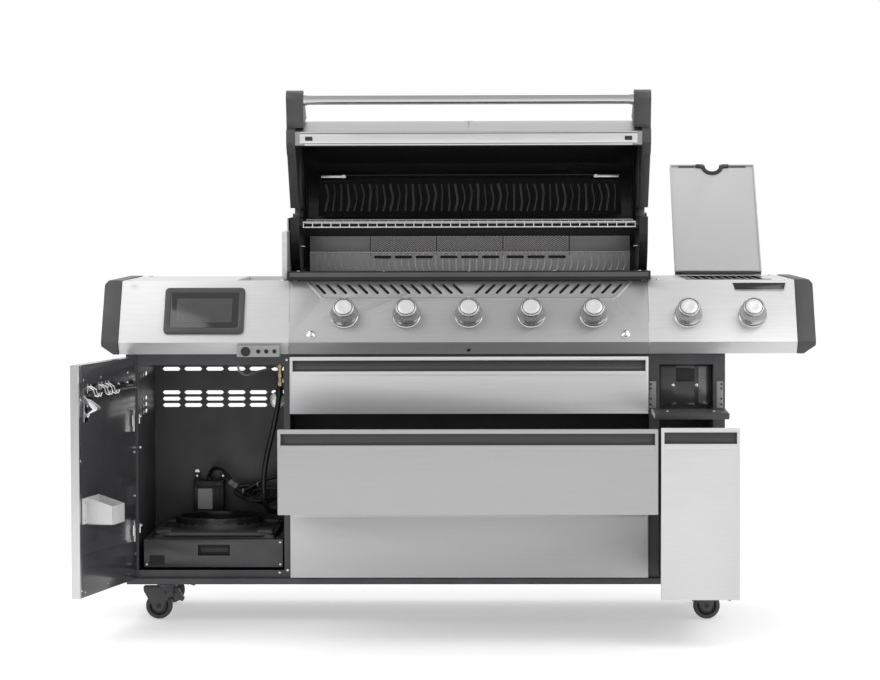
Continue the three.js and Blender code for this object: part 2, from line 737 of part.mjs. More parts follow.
function addPortModule() {
  const section = [[-33, 731], [2, 731], [2, 736.5], [-15.5, 762], [-33, 762]];
  const body = alongX(section, -633, -516);
  const socket = rod([-609, -36, 746], [-609, -24, 746], 12.5, 20);
  const ports = [-574, -552, -530].map((x) => rod([x, -36, 746], [x, -25, 746], 6, 12));
  add("port_module", cut(body, socket, ...ports), plain(0x6a6b6c, 0.4));
  add("power_button", rod([-609, -38, 746], [-609, -26, 746], 11.8, 20), blackPlastic());
}

// ---------------------------------------------------------------- left bay
function transformer() {
  const body = box(-796, -709, 396, 460, 266, 352);
  const ears = [-790, -715].map((x) => box(x - 8, x + 8, 456, CAB.back - 5 - GAP, 340, 372));
  const leadPath = [
    [-752, 420, 348],
    [-750, 418, 372],
    [-735, 408, 388],
    [-710, 398, 386],
    [-690, 392, 370],
    [-676, 390, 352],
  ];
  const lead = tube(leadPath, 6, 18);
  const connector = box(-690, -664, 380, 402, 330, 356);
  const harnessPath = [
    [-676, 390, 340],
    [-655, 385, 322],
    [-630, 380, 330],
    [-600, 378, 350],
    [-560, 380, 362],
    [-512, 384, 372],
  ];
  const harness = tube(harnessPath, 7, 18);
  return join(body, ...ears, lead, connector, harness);
}

function gasHose() {
  const hosePath = [
    [-528, 150, 640],
    [-534, 152, 590],
    [-548, 160, 520],
    [-566, 176, 450],
    [-577, 190, 385],
    [-577, 205, 320],
    [-566, 240, 282],
    [-545, 300, 276],
  ];
  const hose = tube(hosePath, 7.5, 30);
  const wirePath = [
    [-528, 148, 698],
    [-560, 120, 688],
    [-600, 90, 682],
    [-624, 62, 690],
    [-630, 50, 712],
    [-630, 48, 735],
  ];
  const wire = tube(wirePath, 3, 18, 6);
  const regulatorProfile = [
    [0, 0],
    [22, 0],
    [24, 5],
    [24, 14],
    [18, 20],
    [0, 22],
  ];
  const regulator = spun(regulatorProfile, 14).rotateX(Math.PI / 2).translate(-535, 178, 600);
  const fitting = box(-537, -519, 142, 158, 630, 704);
  const wallBlock = box(-560, -509.3, 285, 315, 262, 292);
  const bracket = box(-522, -509.3, 144, 156, 650, 662);
  const stem = box(-537, -523, 146, 165, 592, 606);
  return join(hose, wire, regulator, fitting, wallBlock, bracket, stem);
}

// ---------------------------------------------------------------- casters
function addCaster(name, x, y) {
  const axle = [x - WHEEL.offset, WHEEL.radius];
  const leg = [
    [x - 52, 96],
    [x - 36, 60],
    [axle[0] - 11, 34],
    [axle[0] + 11, 34],
    [x + 8, 70],
    [x + 18, 96],
  ].reverse();
  const legs = [-1, 1].map((side) => alongY(leg, y + side * 17 - 2, y + side * 17 + 2));
  const crown = box(x - 52, x + 18, y - 19, y + 19, 90, 99);
  const mount = rod([x, y, 98], [x, y, CAB.bottom - GAP], 26, 12);
  const pedalOutline = [
    [x + 15, 92],
    [x + 44, 70],
    [x + 50, 76],
    [x + 30, 99],
    [x + 15, 99],
  ];
  const pedal = alongY(pedalOutline, y - 14, y + 14);
  const pin = rod([axle[0], y - 21, axle[1]], [axle[0], y + 21, axle[1]], 4, 10);
  add(`${name}_fork`, join(...legs, crown, mount, pedal, pin), castGrey());
  const sides = 24;
  const flatRadius = WHEEL.radius / Math.cos(Math.PI / sides);
  const disc = new THREE.CylinderGeometry(flatRadius, flatRadius, WHEEL.width, sides);
  disc.rotateY(Math.PI / sides);
  const hubBore = rod([0, -20, 0], [0, 20, 0], 4.6, 10);
  add(`${name}_wheel`, cut(disc, hubBore), rubber()).position.set(axle[0], y, axle[1]);
}

// ---------------------------------------------------------------- assembly
add("cabinet_frame", cabinetFrame(), charcoal());
add("left_side_panel", sidePanel(CAB.left, 1), charcoal());
add("right_side_panel", sidePanel(CAB.right, -1), charcoal());
add("back_panel", backPanel(), charcoal());
for (const drawer of DRAWERS) addDrawer(drawer, [-STACK, STACK], [14 - STACK, STACK - 14]);
addDrawer({ name: "pullout", z0: 125, z1: 569, boxHeight: 300, open: TRAVEL }, [499, 702], [534, 658]);
addDoor();
addFlap();
add("tank_tray", tankTray(), castGrey());
add("firebox", firebox(), blackSteel());
add("burner_set", burnerSet(), stainless());
add("heat_plates", heatPlates(), stainless());
[-312, 0, 312].forEach((x, i) => add(`cooking_grid_${i + 1}`, cookingGrid(x), stainless()));
add("rear_burner", rearBurner(), stainless());
add("warming_rack", warmingRack(), chrome());
add("drip_pan", dripPan(), stainless());
add("control_panel", controlPanel(), stainless());
add("left_shelf", leftShelf(), stainless());
add("right_shelf", rightShelf(), stainless());
add("side_burner", sideBurner(), blackSteel());
add("left_end_cap", endCap(-SHELF.left, -CAP.left), castGrey());
add("right_end_cap", endCap(SHELF.right, CAP.right), castGrey());
addLid();
addSideLid();
addLeftLid();
addSlopePieces();
addPortModule();
add("transformer", transformer(), blackPlastic());
add("gas_hose", gasHose(), rubber());
for (const [side, x] of [["left", CASTERS.left], ["right", CASTERS.right]]) {
  addCaster(`front_${side}_caster`, x, CASTERS.front);
  addCaster(`rear_${side}_caster`, x, CASTERS.back);
}

// The origin goes to the middle of the footprint, on the floor.
grill.updateMatrixWorld(true);
const bounds = new THREE.Box3().setFromObject(grill, true);
grill.position.set(-(bounds.min.x + bounds.max.x) / 2, -(bounds.min.y + bounds.max.y) / 2, -bounds.min.z);

export default grill;
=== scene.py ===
"""Blender scene of a gas barbecue grill: detailed pieces and materials around the CAD frame.

Lengths are in millimetres in the closed design frame: X from the firebox middle, Y from the
drawer fronts towards the back, Z from the floor. A Shape gathers solids in such a frame, and
finish_piece() moves it to its place at rest.
"""

import math
import random

import bmesh
import bpy
from mathutils import Matrix, Quaternion, Vector


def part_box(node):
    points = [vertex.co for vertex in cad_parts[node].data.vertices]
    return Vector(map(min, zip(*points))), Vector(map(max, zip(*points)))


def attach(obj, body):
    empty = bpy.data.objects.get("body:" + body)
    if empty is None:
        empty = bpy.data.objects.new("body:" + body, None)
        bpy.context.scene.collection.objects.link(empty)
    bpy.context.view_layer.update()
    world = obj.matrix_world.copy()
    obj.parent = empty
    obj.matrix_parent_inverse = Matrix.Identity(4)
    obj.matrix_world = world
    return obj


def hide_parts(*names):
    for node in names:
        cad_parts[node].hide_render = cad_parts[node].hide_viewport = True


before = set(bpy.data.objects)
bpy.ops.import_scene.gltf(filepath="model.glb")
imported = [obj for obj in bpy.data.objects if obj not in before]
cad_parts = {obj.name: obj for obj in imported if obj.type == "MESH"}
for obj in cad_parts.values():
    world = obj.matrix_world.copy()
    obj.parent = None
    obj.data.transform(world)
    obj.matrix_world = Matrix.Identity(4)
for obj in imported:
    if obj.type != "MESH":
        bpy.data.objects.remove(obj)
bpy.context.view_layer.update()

PANEL_LOW, PANEL_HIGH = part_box("control_panel")
MIDDLE = (PANEL_LOW.x + PANEL_HIGH.x) / 2
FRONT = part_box("top_drawer_front")[0].y
DESIGN = Matrix.Translation((MIDDLE, FRONT, 0)) @ Matrix.Scale(0.001, 4)


def turned(angle, axis, pivot):
    """A turn about an axis through a pivot, for closed design coordinates."""
    there = Matrix.Translation(pivot)
    return there @ Matrix.Rotation(math.radians(angle), 4, axis) @ there.inverted()


def local(pivot, angle, axis):
    """The frame whose origin is the pivot, turned about an axis."""
    return Matrix.Translation(pivot) @ Matrix.Rotation(math.radians(angle), 4, axis)


STILL = Matrix.Identity(4)
LID_PIVOT = (0, 415, 1110)
LID = turned(-50, "X", LID_PIVOT)
DOOR = local((-934, 2, 0), -103, "Z")
SIDE_LID = local((0, 500, 946), -131, "X")
FLAP = local((0, 2.5, 575.5), 91, "X")
SLOPE = local((0, 85, 934), 57.4, "X")
CENTRE = (0, 0, 0)
SIDES = (-1, 1)


# ---------------------------------------------------------------- shapes


class Shape:
    """Solids in one mesh, in millimetres."""

    def __init__(self):
        self.bm = bmesh.new()

    def loft(self, rings, closed=False):
        """Joins rings of points into a skin; its ends are capped unless it closes on itself."""
        made = [[self.bm.verts.new(p) for p in ring] for ring in rings]
        count = len(made[0])
        pairs = list(zip(made, made[1:]))
        if closed:
            pairs.append((made[-1], made[0]))
        for a, b in pairs:
            for i in range(count):
                j = (i + 1) % count
                self.bm.faces.new((a[i], a[j], b[j], b[i]))
        if not closed:
            self.bm.faces.new(made[0][::-1])
            self.bm.faces.new(made[-1])
        return self

    def box(self, x, y, z, edge=0.0):
        """A box between (low, high) pairs, with rounded edges."""
        before = set(self.bm.faces)
        self.loft([
            [(x[0], y[0], z[0]), (x[0], y[1], z[0]), (x[1], y[1], z[0]), (x[1], y[0], z[0])],
            [(x[0], y[0], z[1]), (x[0], y[1], z[1]), (x[1], y[1], z[1]), (x[1], y[0], z[1])],
        ])
        if edge:
            self.soften(before, edge)
        return self

    def soften(self, before, width):
        """Rounds the sharp edges of the faces made since a set of faces was kept."""
        fresh = [f for f in self.bm.faces if f not in before]
        bmesh.ops.recalc_face_normals(self.bm, faces=fresh)
        edges = dict.fromkeys(e for f in fresh for e in f.edges if e.calc_face_angle(0) > 0.45)
        bmesh.ops.bevel(
            self.bm, geom=list(edges), offset=width, segments=2, profile=0.6, affect="EDGES",
            clamp_overlap=True,
        )

    def plate(self, points, low, high, axis="Z", edge=0.0):
        """An outline (pairs) run along an axis from low to high."""
        before = set(self.bm.faces)
        self.loft([[along(axis, a, b, low) for a, b in points],
                   [along(axis, a, b, high) for a, b in points]])
        if edge:
            self.soften(before, edge)
        return self

    def spin(self, profile, centre, axis="Z", steps=32):
        """A turned body: profile of (radius, height) pairs about an axis through the centre."""
        closed = profile[0][0] > 0 and profile[-1][0] > 0
        rings = []
        for k in range(steps):
            turn = 2 * math.pi * k / steps
            rings.append([
                along(axis, max(r, 0.01) * math.cos(turn), max(r, 0.01) * math.sin(turn), h)
                for r, h in profile
            ])
        before = set(self.bm.verts)
        made = [[self.bm.verts.new(Vector(p) + Vector(centre)) for p in ring] for ring in rings]
        spans = len(profile) if closed else len(profile) - 1
        for k in range(steps):
            a, b = made[k], made[(k + 1) % steps]
            for i in range(spans):
                j = (i + 1) % len(profile)
                self.bm.faces.new((a[i], b[i], b[j], a[j]))
        if not closed:
            fresh = [v for v in self.bm.verts if v not in before]
            bmesh.ops.remove_doubles(self.bm, verts=fresh, dist=0.03)
        return self

    def tube(self, path, radius, sides=10, closed=False):
        """A round bar along points."""
        points = [Vector(p) for p in path]
        rings = []
        normal = None
        last = len(points) - 1
        for k, p in enumerate(points):
            ahead = points[(k + 1) % len(points)] if closed or k < last else p
            behind = points[k - 1] if closed or k > 0 else p
            way = (ahead - behind).normalized()
            if normal is None:
                normal = way.orthogonal().normalized()
            normal = (normal - way * normal.dot(way)).normalized()
            side = way.cross(normal)
            rings.append([
                p + radius * (math.cos(t) * normal + math.sin(t) * side)
                for t in (2 * math.pi * i / sides for i in range(sides))
            ])
        return self.loft(rings, closed)

    def moved(self, matrix):
        """Moves everything made so far."""
        self.bm.transform(matrix)
        return self

    def add(self, other, matrix=STILL):
        """Takes in a copy of another shape."""
        mesh = bpy.data.meshes.new("scratch")
        other.bm.to_mesh(mesh)
        mesh.transform(matrix)
        self.bm.from_mesh(mesh)
        bpy.data.meshes.remove(mesh)
        return self


def along(axis, a, b, c):
    """A point from two outline values and a height, for an outline facing an axis."""
    if axis == "Z":
        return (a, b, c)
    if axis == "Y":
        return (a, c, b)
    return (c, a, b)


def flank(side, near, far, middle=0):
    """The (low, high) pair from near to far off the middle, on side -1 or 1."""
    return sorted((middle + side * near, middle + side * far))


def rounded(x0, x1, y0, y1, r, steps=5):
    """The outline of a rectangle with round corners."""
    points = []
    for cx, cy, start in ((x1 - r, y1 - r, 0), (x0 + r, y1 - r, 90),
                          (x0 + r, y0 + r, 180), (x1 - r, y0 + r, 270)):
        for k in range(steps + 1):
            turn = math.radians(start + 90 * k / steps)
            points.append((cx + r * math.cos(turn), cy + r * math.sin(turn)))
    return points


def eased(points, steps=8):
    """A smooth curve through points."""
    knots = [Vector(p) for p in points]
    knots = [2 * knots[0] - knots[1]] + knots + [2 * knots[-1] - knots[-2]]
    made = []
    for a, b, c, d in zip(knots, knots[1:], knots[2:], knots[3:]):
        for k in range(steps):
            t = k / steps
            made.append(0.5 * (2 * b + (c - a) * t + (2 * a - 5 * b + 4 * c - d) * t * t
                               + (3 * b - a - 3 * c + d) * t ** 3))
    made.append(knots[-2])
    return made


def finish_piece(name, shape, body, look, place=STILL, replaces=(), sharp=32):
    """Turns a shape into a named piece at its rest place, riding on a CAD body."""
    bmesh.ops.recalc_face_normals(shape.bm, faces=shape.bm.faces[:])
    mesh = bpy.data.meshes.new(name)
    shape.bm.to_mesh(mesh)
    shape.bm.free()
    mesh.transform(DESIGN @ place)
    mesh.shade_smooth()
    mesh.set_sharp_from_angle(angle=math.radians(sharp))
    settle(name, mesh, body, look, replaces)


def settle(name, mesh, body, look, replaces):
    piece = bpy.data.objects.new(name, mesh)
    bpy.context.scene.collection.objects.link(piece)
    material, usual_slot = LOOKS[look]
    mesh.materials.clear()
    mesh.materials.append(material)
    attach(piece, body)
    if replaces:
        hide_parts(*replaces)


def turned_heads(name, body, look, profile, spots, place=STILL, axis="Y", steps=14):
    """One piece of equal turned heads, such as screws, at several spots."""
    shape = Shape()
    for spot in spots:
        shape.spin(profile, spot, axis, steps)
    finish_piece(name, shape, body, look, place)


def upright_spots(pairs):
    """Spots on the plane Y = 0, from (X, Z) pairs."""
    return [(x, 0, z) for x, z in pairs]


def refine(node, body, look, edge):
    """A CAD node's own shape with rounded edges, as a piece that replaces the node."""
    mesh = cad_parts[node].data.copy()
    bm = bmesh.new()
    bm.from_mesh(mesh)
    bmesh.ops.remove_doubles(bm, verts=bm.verts[:], dist=2e-6)
    bmesh.ops.dissolve_limit(
        bm, angle_limit=math.radians(0.4), verts=bm.verts[:], edges=bm.edges[:])
    bm.to_mesh(mesh)
    bm.free()
    mesh.shade_smooth()
    holder = bpy.data.objects.new("holder", mesh)
    bpy.context.scene.collection.objects.link(holder)
    bevel = holder.modifiers.new("edge", "BEVEL")
    bevel.width = edge / 1000
    bevel.segments = 2
    bevel.limit_method = "ANGLE"
    bevel.angle_limit = math.radians(24)
    bevel.harden_normals = True
    bevel.use_clamp_overlap = True
    evaluated = holder.evaluated_get(bpy.context.evaluated_depsgraph_get())
    made = bpy.data.meshes.new_from_object(evaluated)
    bpy.data.objects.remove(holder)
    settle(node + "_shell", made, body, look, (node,))


def paint(node, look):
    """Gives a carried-over CAD node its material."""
    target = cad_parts[node]
    material = LOOKS[look][0]
    if not target.material_slots:
        target.data.materials.append(material)
    for place in target.material_slots:
        place.material = material


# ---------------------------------------------------------------- materials


class Nodes:
    """A material's node tree with short ways to add and link nodes."""

    def __init__(self, name):
        self.material = bpy.data.materials.new(name)
        self.material.use_nodes = True
        self.tree = self.material.node_tree
        self.shader = self.tree.nodes["Principled BSDF"]

    def new(self, kind, **values):
        node = self.tree.nodes.new(kind)
        for key, value in values.items():
            if hasattr(node, key) and key not in node.inputs:
                setattr(node, key, value)
            else:
                node.inputs[key].default_value = value
        return node

    def link(self, source, target):
        self.tree.links.new(source, target)

    def set(self, **values):
        for key, value in values.items():
            self.shader.inputs[key.replace("_", " ")].default_value = value


def shade_of(value, tint=(1, 1, 1)):
    """A colour of a given lightness, slightly tinted."""
    return (value * tint[0], value * tint[1], value * tint[2], 1)


def coordinates(n, scale):
    """Object coordinates stretched per axis."""
    source = n.new("ShaderNodeTexCoord")
    stretch = n.new("ShaderNodeMapping")
    stretch.inputs["Scale"].default_value = scale
    n.link(source.outputs["Object"], stretch.inputs["Vector"])
    return stretch.outputs["Vector"]


def noise(n, scale, stretch=(1, 1, 1), detail=3.0, rough=0.55):
    """A noise value on object coordinates."""
    made = n.new("ShaderNodeTexNoise", Scale=scale, Detail=detail, Roughness=rough)
    n.link(coordinates(n, stretch), made.inputs["Vector"])
    return made.outputs["Fac"]


def ranged(n, value, low, high, start=0.3, end=0.7):
    """Maps a noise value to a range."""
    made = n.new("ShaderNodeMapRange")
    made.inputs["From Min"].default_value = start
    made.inputs["From Max"].default_value = end
    made.inputs["To Min"].default_value = low
    made.inputs["To Max"].default_value = high
    n.link(value, made.inputs["Value"])
    return made.outputs["Result"]


def blended(n, value, dark, light, start=0.3, end=0.7):
    """Blends two colours by a noise value."""
    made = n.new("ShaderNodeMix", data_type="RGBA")
    n.link(ranged(n, value, 0, 1, start, end), made.inputs["Factor"])
    made.inputs["A"].default_value = dark
    made.inputs["B"].default_value = light
    n.link(made.outputs["Result"], n.shader.inputs["Base Color"])


def bumped(n, value, strength, distance):
    """Adds a height value to the surface normal."""
    made = n.new("ShaderNodeBump", Strength=strength, Distance=distance)
    n.link(value, made.inputs["Height"])
    n.link(made.outputs["Normal"], n.shader.inputs["Normal"])


LOOKS = {}


def brushed(name, slot, value, roughness, stretch, tint=(1, 1, 1), contrast=0.06, strength=0.12,
            metallic=1.0):
    """Metal with a brushed grain along one direction, and faint broad clouding."""
    n = Nodes(name)
    n.set(Metallic=metallic)
    grain = noise(n, 420.0, stretch, 4.0, 0.65)
    blended(n, grain, shade_of(value * (1 - contrast), tint), shade_of(value * (1 + contrast), tint))
    clouds = noise(n, 3.0)
    total = n.new("ShaderNodeMath", operation="MULTIPLY_ADD")
    n.link(ranged(n, grain, -0.03, 0.03), total.inputs[0])
    total.inputs[1].default_value = 1.0
    n.link(ranged(n, clouds, roughness * 0.96, roughness * 1.05), total.inputs[2])
    n.link(total.outputs[0], n.shader.inputs["Roughness"])
    bumped(n, grain, strength, 0.0004)
    LOOKS[name] = (n.material, slot)


def painted(name, slot, value, roughness, tint=(1, 1, 1), grain=900.0, strength=0.15,
            metallic=0.0, spread=0.12, coat=0.0):
    """Powder coat, enamel or moulded plastic: a fine orange peel and faint wear."""
    n = Nodes(name)
    n.set(Metallic=metallic, Coat_Weight=coat, Coat_Roughness=0.12)
    peel = noise(n, grain, (1, 1, 1), 2.0)
    wear = noise(n, 9.0, (1, 1, 1), 5.0)
    blended(n, wear, shade_of(value * (1 - spread), tint), shade_of(value * (1 + spread), tint))
    n.link(ranged(n, wear, roughness * 1.12, roughness * 0.9), n.shader.inputs["Roughness"])
    bumped(n, peel, strength, 0.0003)
    LOOKS[name] = (n.material, slot)


# The grain's stretch along each axis: small where the brush lines run.
ACROSS = (0.02, 1.0, 1.0)
UPRIGHT = (1.0, 1.0, 0.02)
DEEP = (1.0, 0.02, 1.0)
EVEN = (1.0, 1.0, 1.0)

# The top front's steel below is a lighter copy of the front steel, painted light against the shade
# from the drawn middle drawer; the middle front's steel is a darker copy, painted shade because that
# front stands nearer the lights.
brushed("front_steel", "stainless", 0.66, 0.48, ACROSS, metallic=0.35, contrast=0.03)
brushed("upper_steel_painted_light", "stainless", 0.80, 0.50, ACROSS, metallic=0.3, contrast=0.03)
brushed("middle_steel_painted_shade", "stainless", 0.44, 0.48, ACROSS, metallic=0.35, contrast=0.03)
brushed("lid_steel", "stainless", 0.38, 0.36, ACROSS)
brushed("shelf_steel", "stainless", 0.66, 0.42, ACROSS, metallic=0.5)
brushed("panel_steel", "panel_steel", 0.42, 0.46, ACROSS, metallic=0.5)
brushed("pan_steel", "stainless", 0.46, 0.50, ACROSS, metallic=0.4, contrast=0.02)
# Dark steel that lines the finger recesses as painted shade; the side lid's hem uses it too.
brushed("recess_shade_and_hem_steel", "stainless", 0.085, 0.42, ACROSS, metallic=0.3)
brushed("bracket_steel", "zinc", 0.30, 0.46, EVEN, metallic=0.6)
brushed("hem_steel", "stainless", 0.74, 0.30, ACROSS)
brushed("rod_steel", "inner_steel", 0.50, 0.28, EVEN, contrast=0.05)
brushed("burner_steel", "inner_steel", 0.52, 0.30, UPRIGHT, (1, 0.995, 0.98), contrast=0.08,
        strength=0.03, metallic=0.4)
brushed("mesh_steel", "inner_steel", 0.66, 0.40, EVEN, (1, 0.99, 0.97), metallic=0.4)
painted("mesh_shade", "black_enamel", 0.06, 0.5)
brushed("burner_dull", "inner_steel", 0.27, 0.45, UPRIGHT, metallic=0.4)
brushed("arc_steel", "inner_steel", 0.85, 0.34, EVEN, metallic=0.4)
# Lighter black for the baffle's raised wavy ribs, which paint the reflection of the grid rods.
painted("baffle_reflection_rib", "black_enamel", 0.12, 0.40)
painted("rim_grey", "charcoal_paint", 0.085, 0.5)
brushed("box_steel", "stainless", 0.42, 0.34, DEEP)
brushed("upright_steel", "stainless", 0.62, 0.32, UPRIGHT)
brushed("handle_steel", "stainless", 0.55, 0.16, ACROSS, contrast=0.03, strength=0.03)
brushed("chrome", "chrome", 0.82, 0.09, EVEN, contrast=0.02, strength=0.02)
brushed("rack_chrome", "chrome", 0.90, 0.24, EVEN, contrast=0.02, strength=0.02, metallic=0.5)
brushed("satin_chrome", "chrome", 0.66, 0.26, EVEN, contrast=0.03, strength=0.05)
brushed("knob_satin", "chrome", 0.50, 0.26, EVEN, contrast=0.03, strength=0.04, metallic=0.75)
brushed("knob_face_lit", "chrome", 0.80, 0.30, EVEN, contrast=0.02, strength=0.03, metallic=0.6)
brushed("knob_bright", "chrome", 0.72, 0.20, EVEN, contrast=0.02, strength=0.02, metallic=0.9)
brushed("zinc", "zinc", 0.50, 0.40, EVEN, contrast=0.10, strength=0.10)
brushed("brass", "zinc", 0.50, 0.30, EVEN, (1.0, 0.80, 0.46), contrast=0.08)
painted("cabinet_dark", "charcoal_paint", 0.070, 0.38, (1, 1, 1.05), metallic=0.3)
painted("drawer_dark", "charcoal_paint", 0.030, 0.40, (1, 1, 1.04), metallic=0.2)
painted("tray_grey", "charcoal_paint", 0.075, 0.38, (1, 1, 1.03), metallic=0.3)
painted("door_paint", "charcoal_paint", 0.055, 0.20, (1, 1, 1.05), coat=0.5)
painted("cast_grey", "cast_grey", 0.070, 0.46, (1, 1, 1.01), 500.0, 0.35, metallic=0.35)
painted("black_enamel", "black_enamel", 0.010, 0.20, coat=0.4)
painted("lid_liner", "black_enamel", 0.010, 0.30, coat=0.15)
painted("baffle_black", "black_enamel", 0.012, 0.16, strength=0.01, coat=0.1)
# Near-black: the firebox's black linings and the burner's dark joints, and painted shade in slots,
# grooves, vents and recesses.
painted("soot_and_shade_black", "black_plastic", 0.004, 0.60)
painted("firebox_grey", "black_enamel", 0.022, 0.36, metallic=0.5)
brushed("rail_dark", "chrome", 0.16, 0.20, ACROSS)
painted("ring_black", "black_plastic", 0.016, 0.26, grain=300.0, strength=0.05, coat=0.3)
painted("grid_iron", "black_enamel", 0.030, 0.30, metallic=0.7)
painted("black_plastic", "black_plastic", 0.016, 0.42, grain=700.0)
painted("dark_plastic", "black_plastic", 0.052, 0.42, grain=700.0)
painted("glass_black", "black_plastic", 0.012, 0.10, grain=200.0, strength=0.02, coat=0.6)
painted("screen_grey", "black_plastic", 0.055, 0.22, grain=200.0, strength=0.02, coat=0.3)
painted("grey_plastic", "grey_plastic", 0.34, 0.46, grain=700.0, spread=0.04)
painted("bin_grey", "grey_plastic", 0.62, 0.42, grain=500.0, spread=0.05)
painted("bin_gloss", "black_plastic", 0.060, 0.20, metallic=0.5, coat=0.4)
# A lighter copy of the bin's glossy black, for a painted highlight.
painted("bin_highlight_paint", "black_plastic", 0.22, 0.20, metallic=0.5, coat=0.4)
painted("caster_grey", "cast_grey", 0.055, 0.44, grain=600.0, strength=0.3)
painted("tyre", "rubber", 0.040, 0.50, grain=500.0, strength=0.3)
painted("rubber", "rubber", 0.016, 0.62, grain=350.0, strength=0.4)
painted("cable", "rubber", 0.014, 0.38, grain=350.0, strength=0.2)
painted("wire_grey", "grey_plastic", 0.30, 0.50, grain=350.0)
painted("label", "grey_plastic", 0.50, 0.55, spread=0.05)

# ---------------------------------------------------------------- CAD nodes that stay

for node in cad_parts:
    paint(node, "cabinet_dark")

# The body, look and edge radius of each node that keeps its shape but gets rounded edges.
SHELLS = {
    "top_drawer_front": ("top_drawer", "upper_steel_painted_light", 1.6),
    "middle_drawer_front": ("middle_drawer", "middle_steel_painted_shade", 1.6),
    "bottom_drawer_front": ("bottom_drawer", "front_steel", 1.6),
    "pullout_front": ("pullout", "front_steel", 1.6),
    "drop_flap": ("flap", "front_steel", 1.0),
    "control_panel": ("cart", "panel_steel", 0.7),
    "left_shelf": ("cart", "shelf_steel", 1.2),
    "right_shelf": ("cart", "shelf_steel", 1.2),
    "left_shelf_lid": ("shelf_lid", "shelf_steel", 1.0),
    "side_burner_lid": ("side_lid", "pan_steel", 0.8),
    "left_end_cap": ("cart", "cast_grey", 2.5),
    "right_end_cap": ("cart", "cast_grey", 2.5),
    "lid_casting_left": ("lid", "cast_grey", 2.2),
    "lid_casting_right": ("lid", "cast_grey", 2.2),
    "tank_tray": ("tray", "tray_grey", 1.8),
}
for node, (body, look, edge) in SHELLS.items():
    refine(node, body, look, edge)

CARRIED = {
    "lid_steel": ["lid_shell"],
    "box_steel": ["top_drawer_runners", "middle_drawer_runners", "bottom_drawer_runners",
                  "pullout_runners", "burner_set", "heat_plates"],
    "drawer_dark": ["top_drawer_box", "middle_drawer_box", "bottom_drawer_box", "pullout_box"],
    "firebox_grey": ["firebox"],
    "black_enamel": ["side_burner"],
    "zinc": ["drip_pan"],
    "door_paint": ["left_door"],
}
for look, nodes in CARRIED.items():
    for node in nodes:
        paint(node, look)


# ---------------------------------------------------------------- knobs and control panel

KNOB_X = (-342, -171, 0, 171, 342, 601, 777)
KNOB_V = -112.5  # the knobs' row, measured down the sloping panel from its top
FLUTES = 60
SHELF_TOP = 936


def fluted(profile, first, last, depth):
    """A knob body whose skirt is knurled between two heights of its profile."""
    rings = []
    for r, h in profile:
        row = []
        for k in range(FLUTES * 2):
            turn = math.pi * k / FLUTES
            reach = r - (depth if first <= h <= last and k % 2 else 0)
            row.append((reach * math.cos(turn), reach * math.sin(turn), h))
        rings.append(row)
    return Shape().loft(rings)


def knobs():
    """Stepped chrome bezel, knurled skirt, dished satin face lightened as painted light, black seam
    rings as painted shade in the gaps, and two pointer marks.
    """
    bezel = [(26, 0.3), (38.4, 0.3), (39.0, 2.0), (38.6, 4.6), (37.2, 6.0), (35.4, 6.6),
             (34.6, 8.6), (26, 8.8)]
    gap = [(24, 5.8), (36.6, 5.8), (36.6, 11.2), (24, 11.2)]
    upper_gap = [(27, 45.8), (30.5, 45.8), (30.5, 47.4), (27, 47.4)]
    face_gap = [(23.2, 50.2), (24.8, 50.2), (24.8, 52.8), (23.2, 52.8)]
    face = [(0, 50.2), (23.3, 50.2), (23.3, 51.6), (21.8, 52.3), (12.0, 51.6), (0, 51.3)]
    body = [(26, 10.8), (36.0, 10.8), (37.8, 12.2), (38.0, 15.4), (37.2, 17.4), (35.6, 18.6),
            (35.0, 21.0), (32.8, 26.0), (31.2, 32.0), (30.6, 42.0), (30.8, 45.4), (29.6, 46.2),
            (29.5, 47.2), (30.3, 48.0), (29.4, 50.6), (26.4, 52.4), (24.8, 52.5), (23.9, 51.9),
            (23.4, 50.6), (12.0, 50.1), (4.0, 50.0)]
    for i, x in enumerate(KNOB_X, 1):
        name, turning = f"knob_{i}", f"knob{i}"
        place = SLOPE @ Matrix.Translation((x, KNOB_V, 0))
        ring = Shape().spin(bezel, CENTRE, steps=64)
        finish_piece(f"{name}_bezel", ring, turning, "knob_bright", place)
        # Near-black rings in the gaps between bezel, skirt and face are painted shade.
        seam = Shape()
        for ring_profile in (gap, upper_gap, face_gap):
            seam.spin(ring_profile, CENTRE, steps=48)
        finish_piece(f"{name}_seam", seam, turning, "soot_and_shade_black", place)
        skirt = fluted(body, 20.0, 43.0, 0.9)
        finish_piece(f"{name}_body", skirt, turning, "knob_satin", place, (name,), sharp=50)
        # The face's metal is lighter than the body's, as painted light on the knob's top.
        cap = Shape().spin(face, CENTRE, steps=56)
        finish_piece(f"{name}_face", cap, turning, "knob_face_lit", place)
        marks = Shape()
        for pair in ((-3.8, -2.0), (2.0, 3.8)):
            marks.box(pair, (24.6, 30.2), (50.0, 53.4), 0.4)
        finish_piece(f"{name}_marks", marks, turning, "label", place)


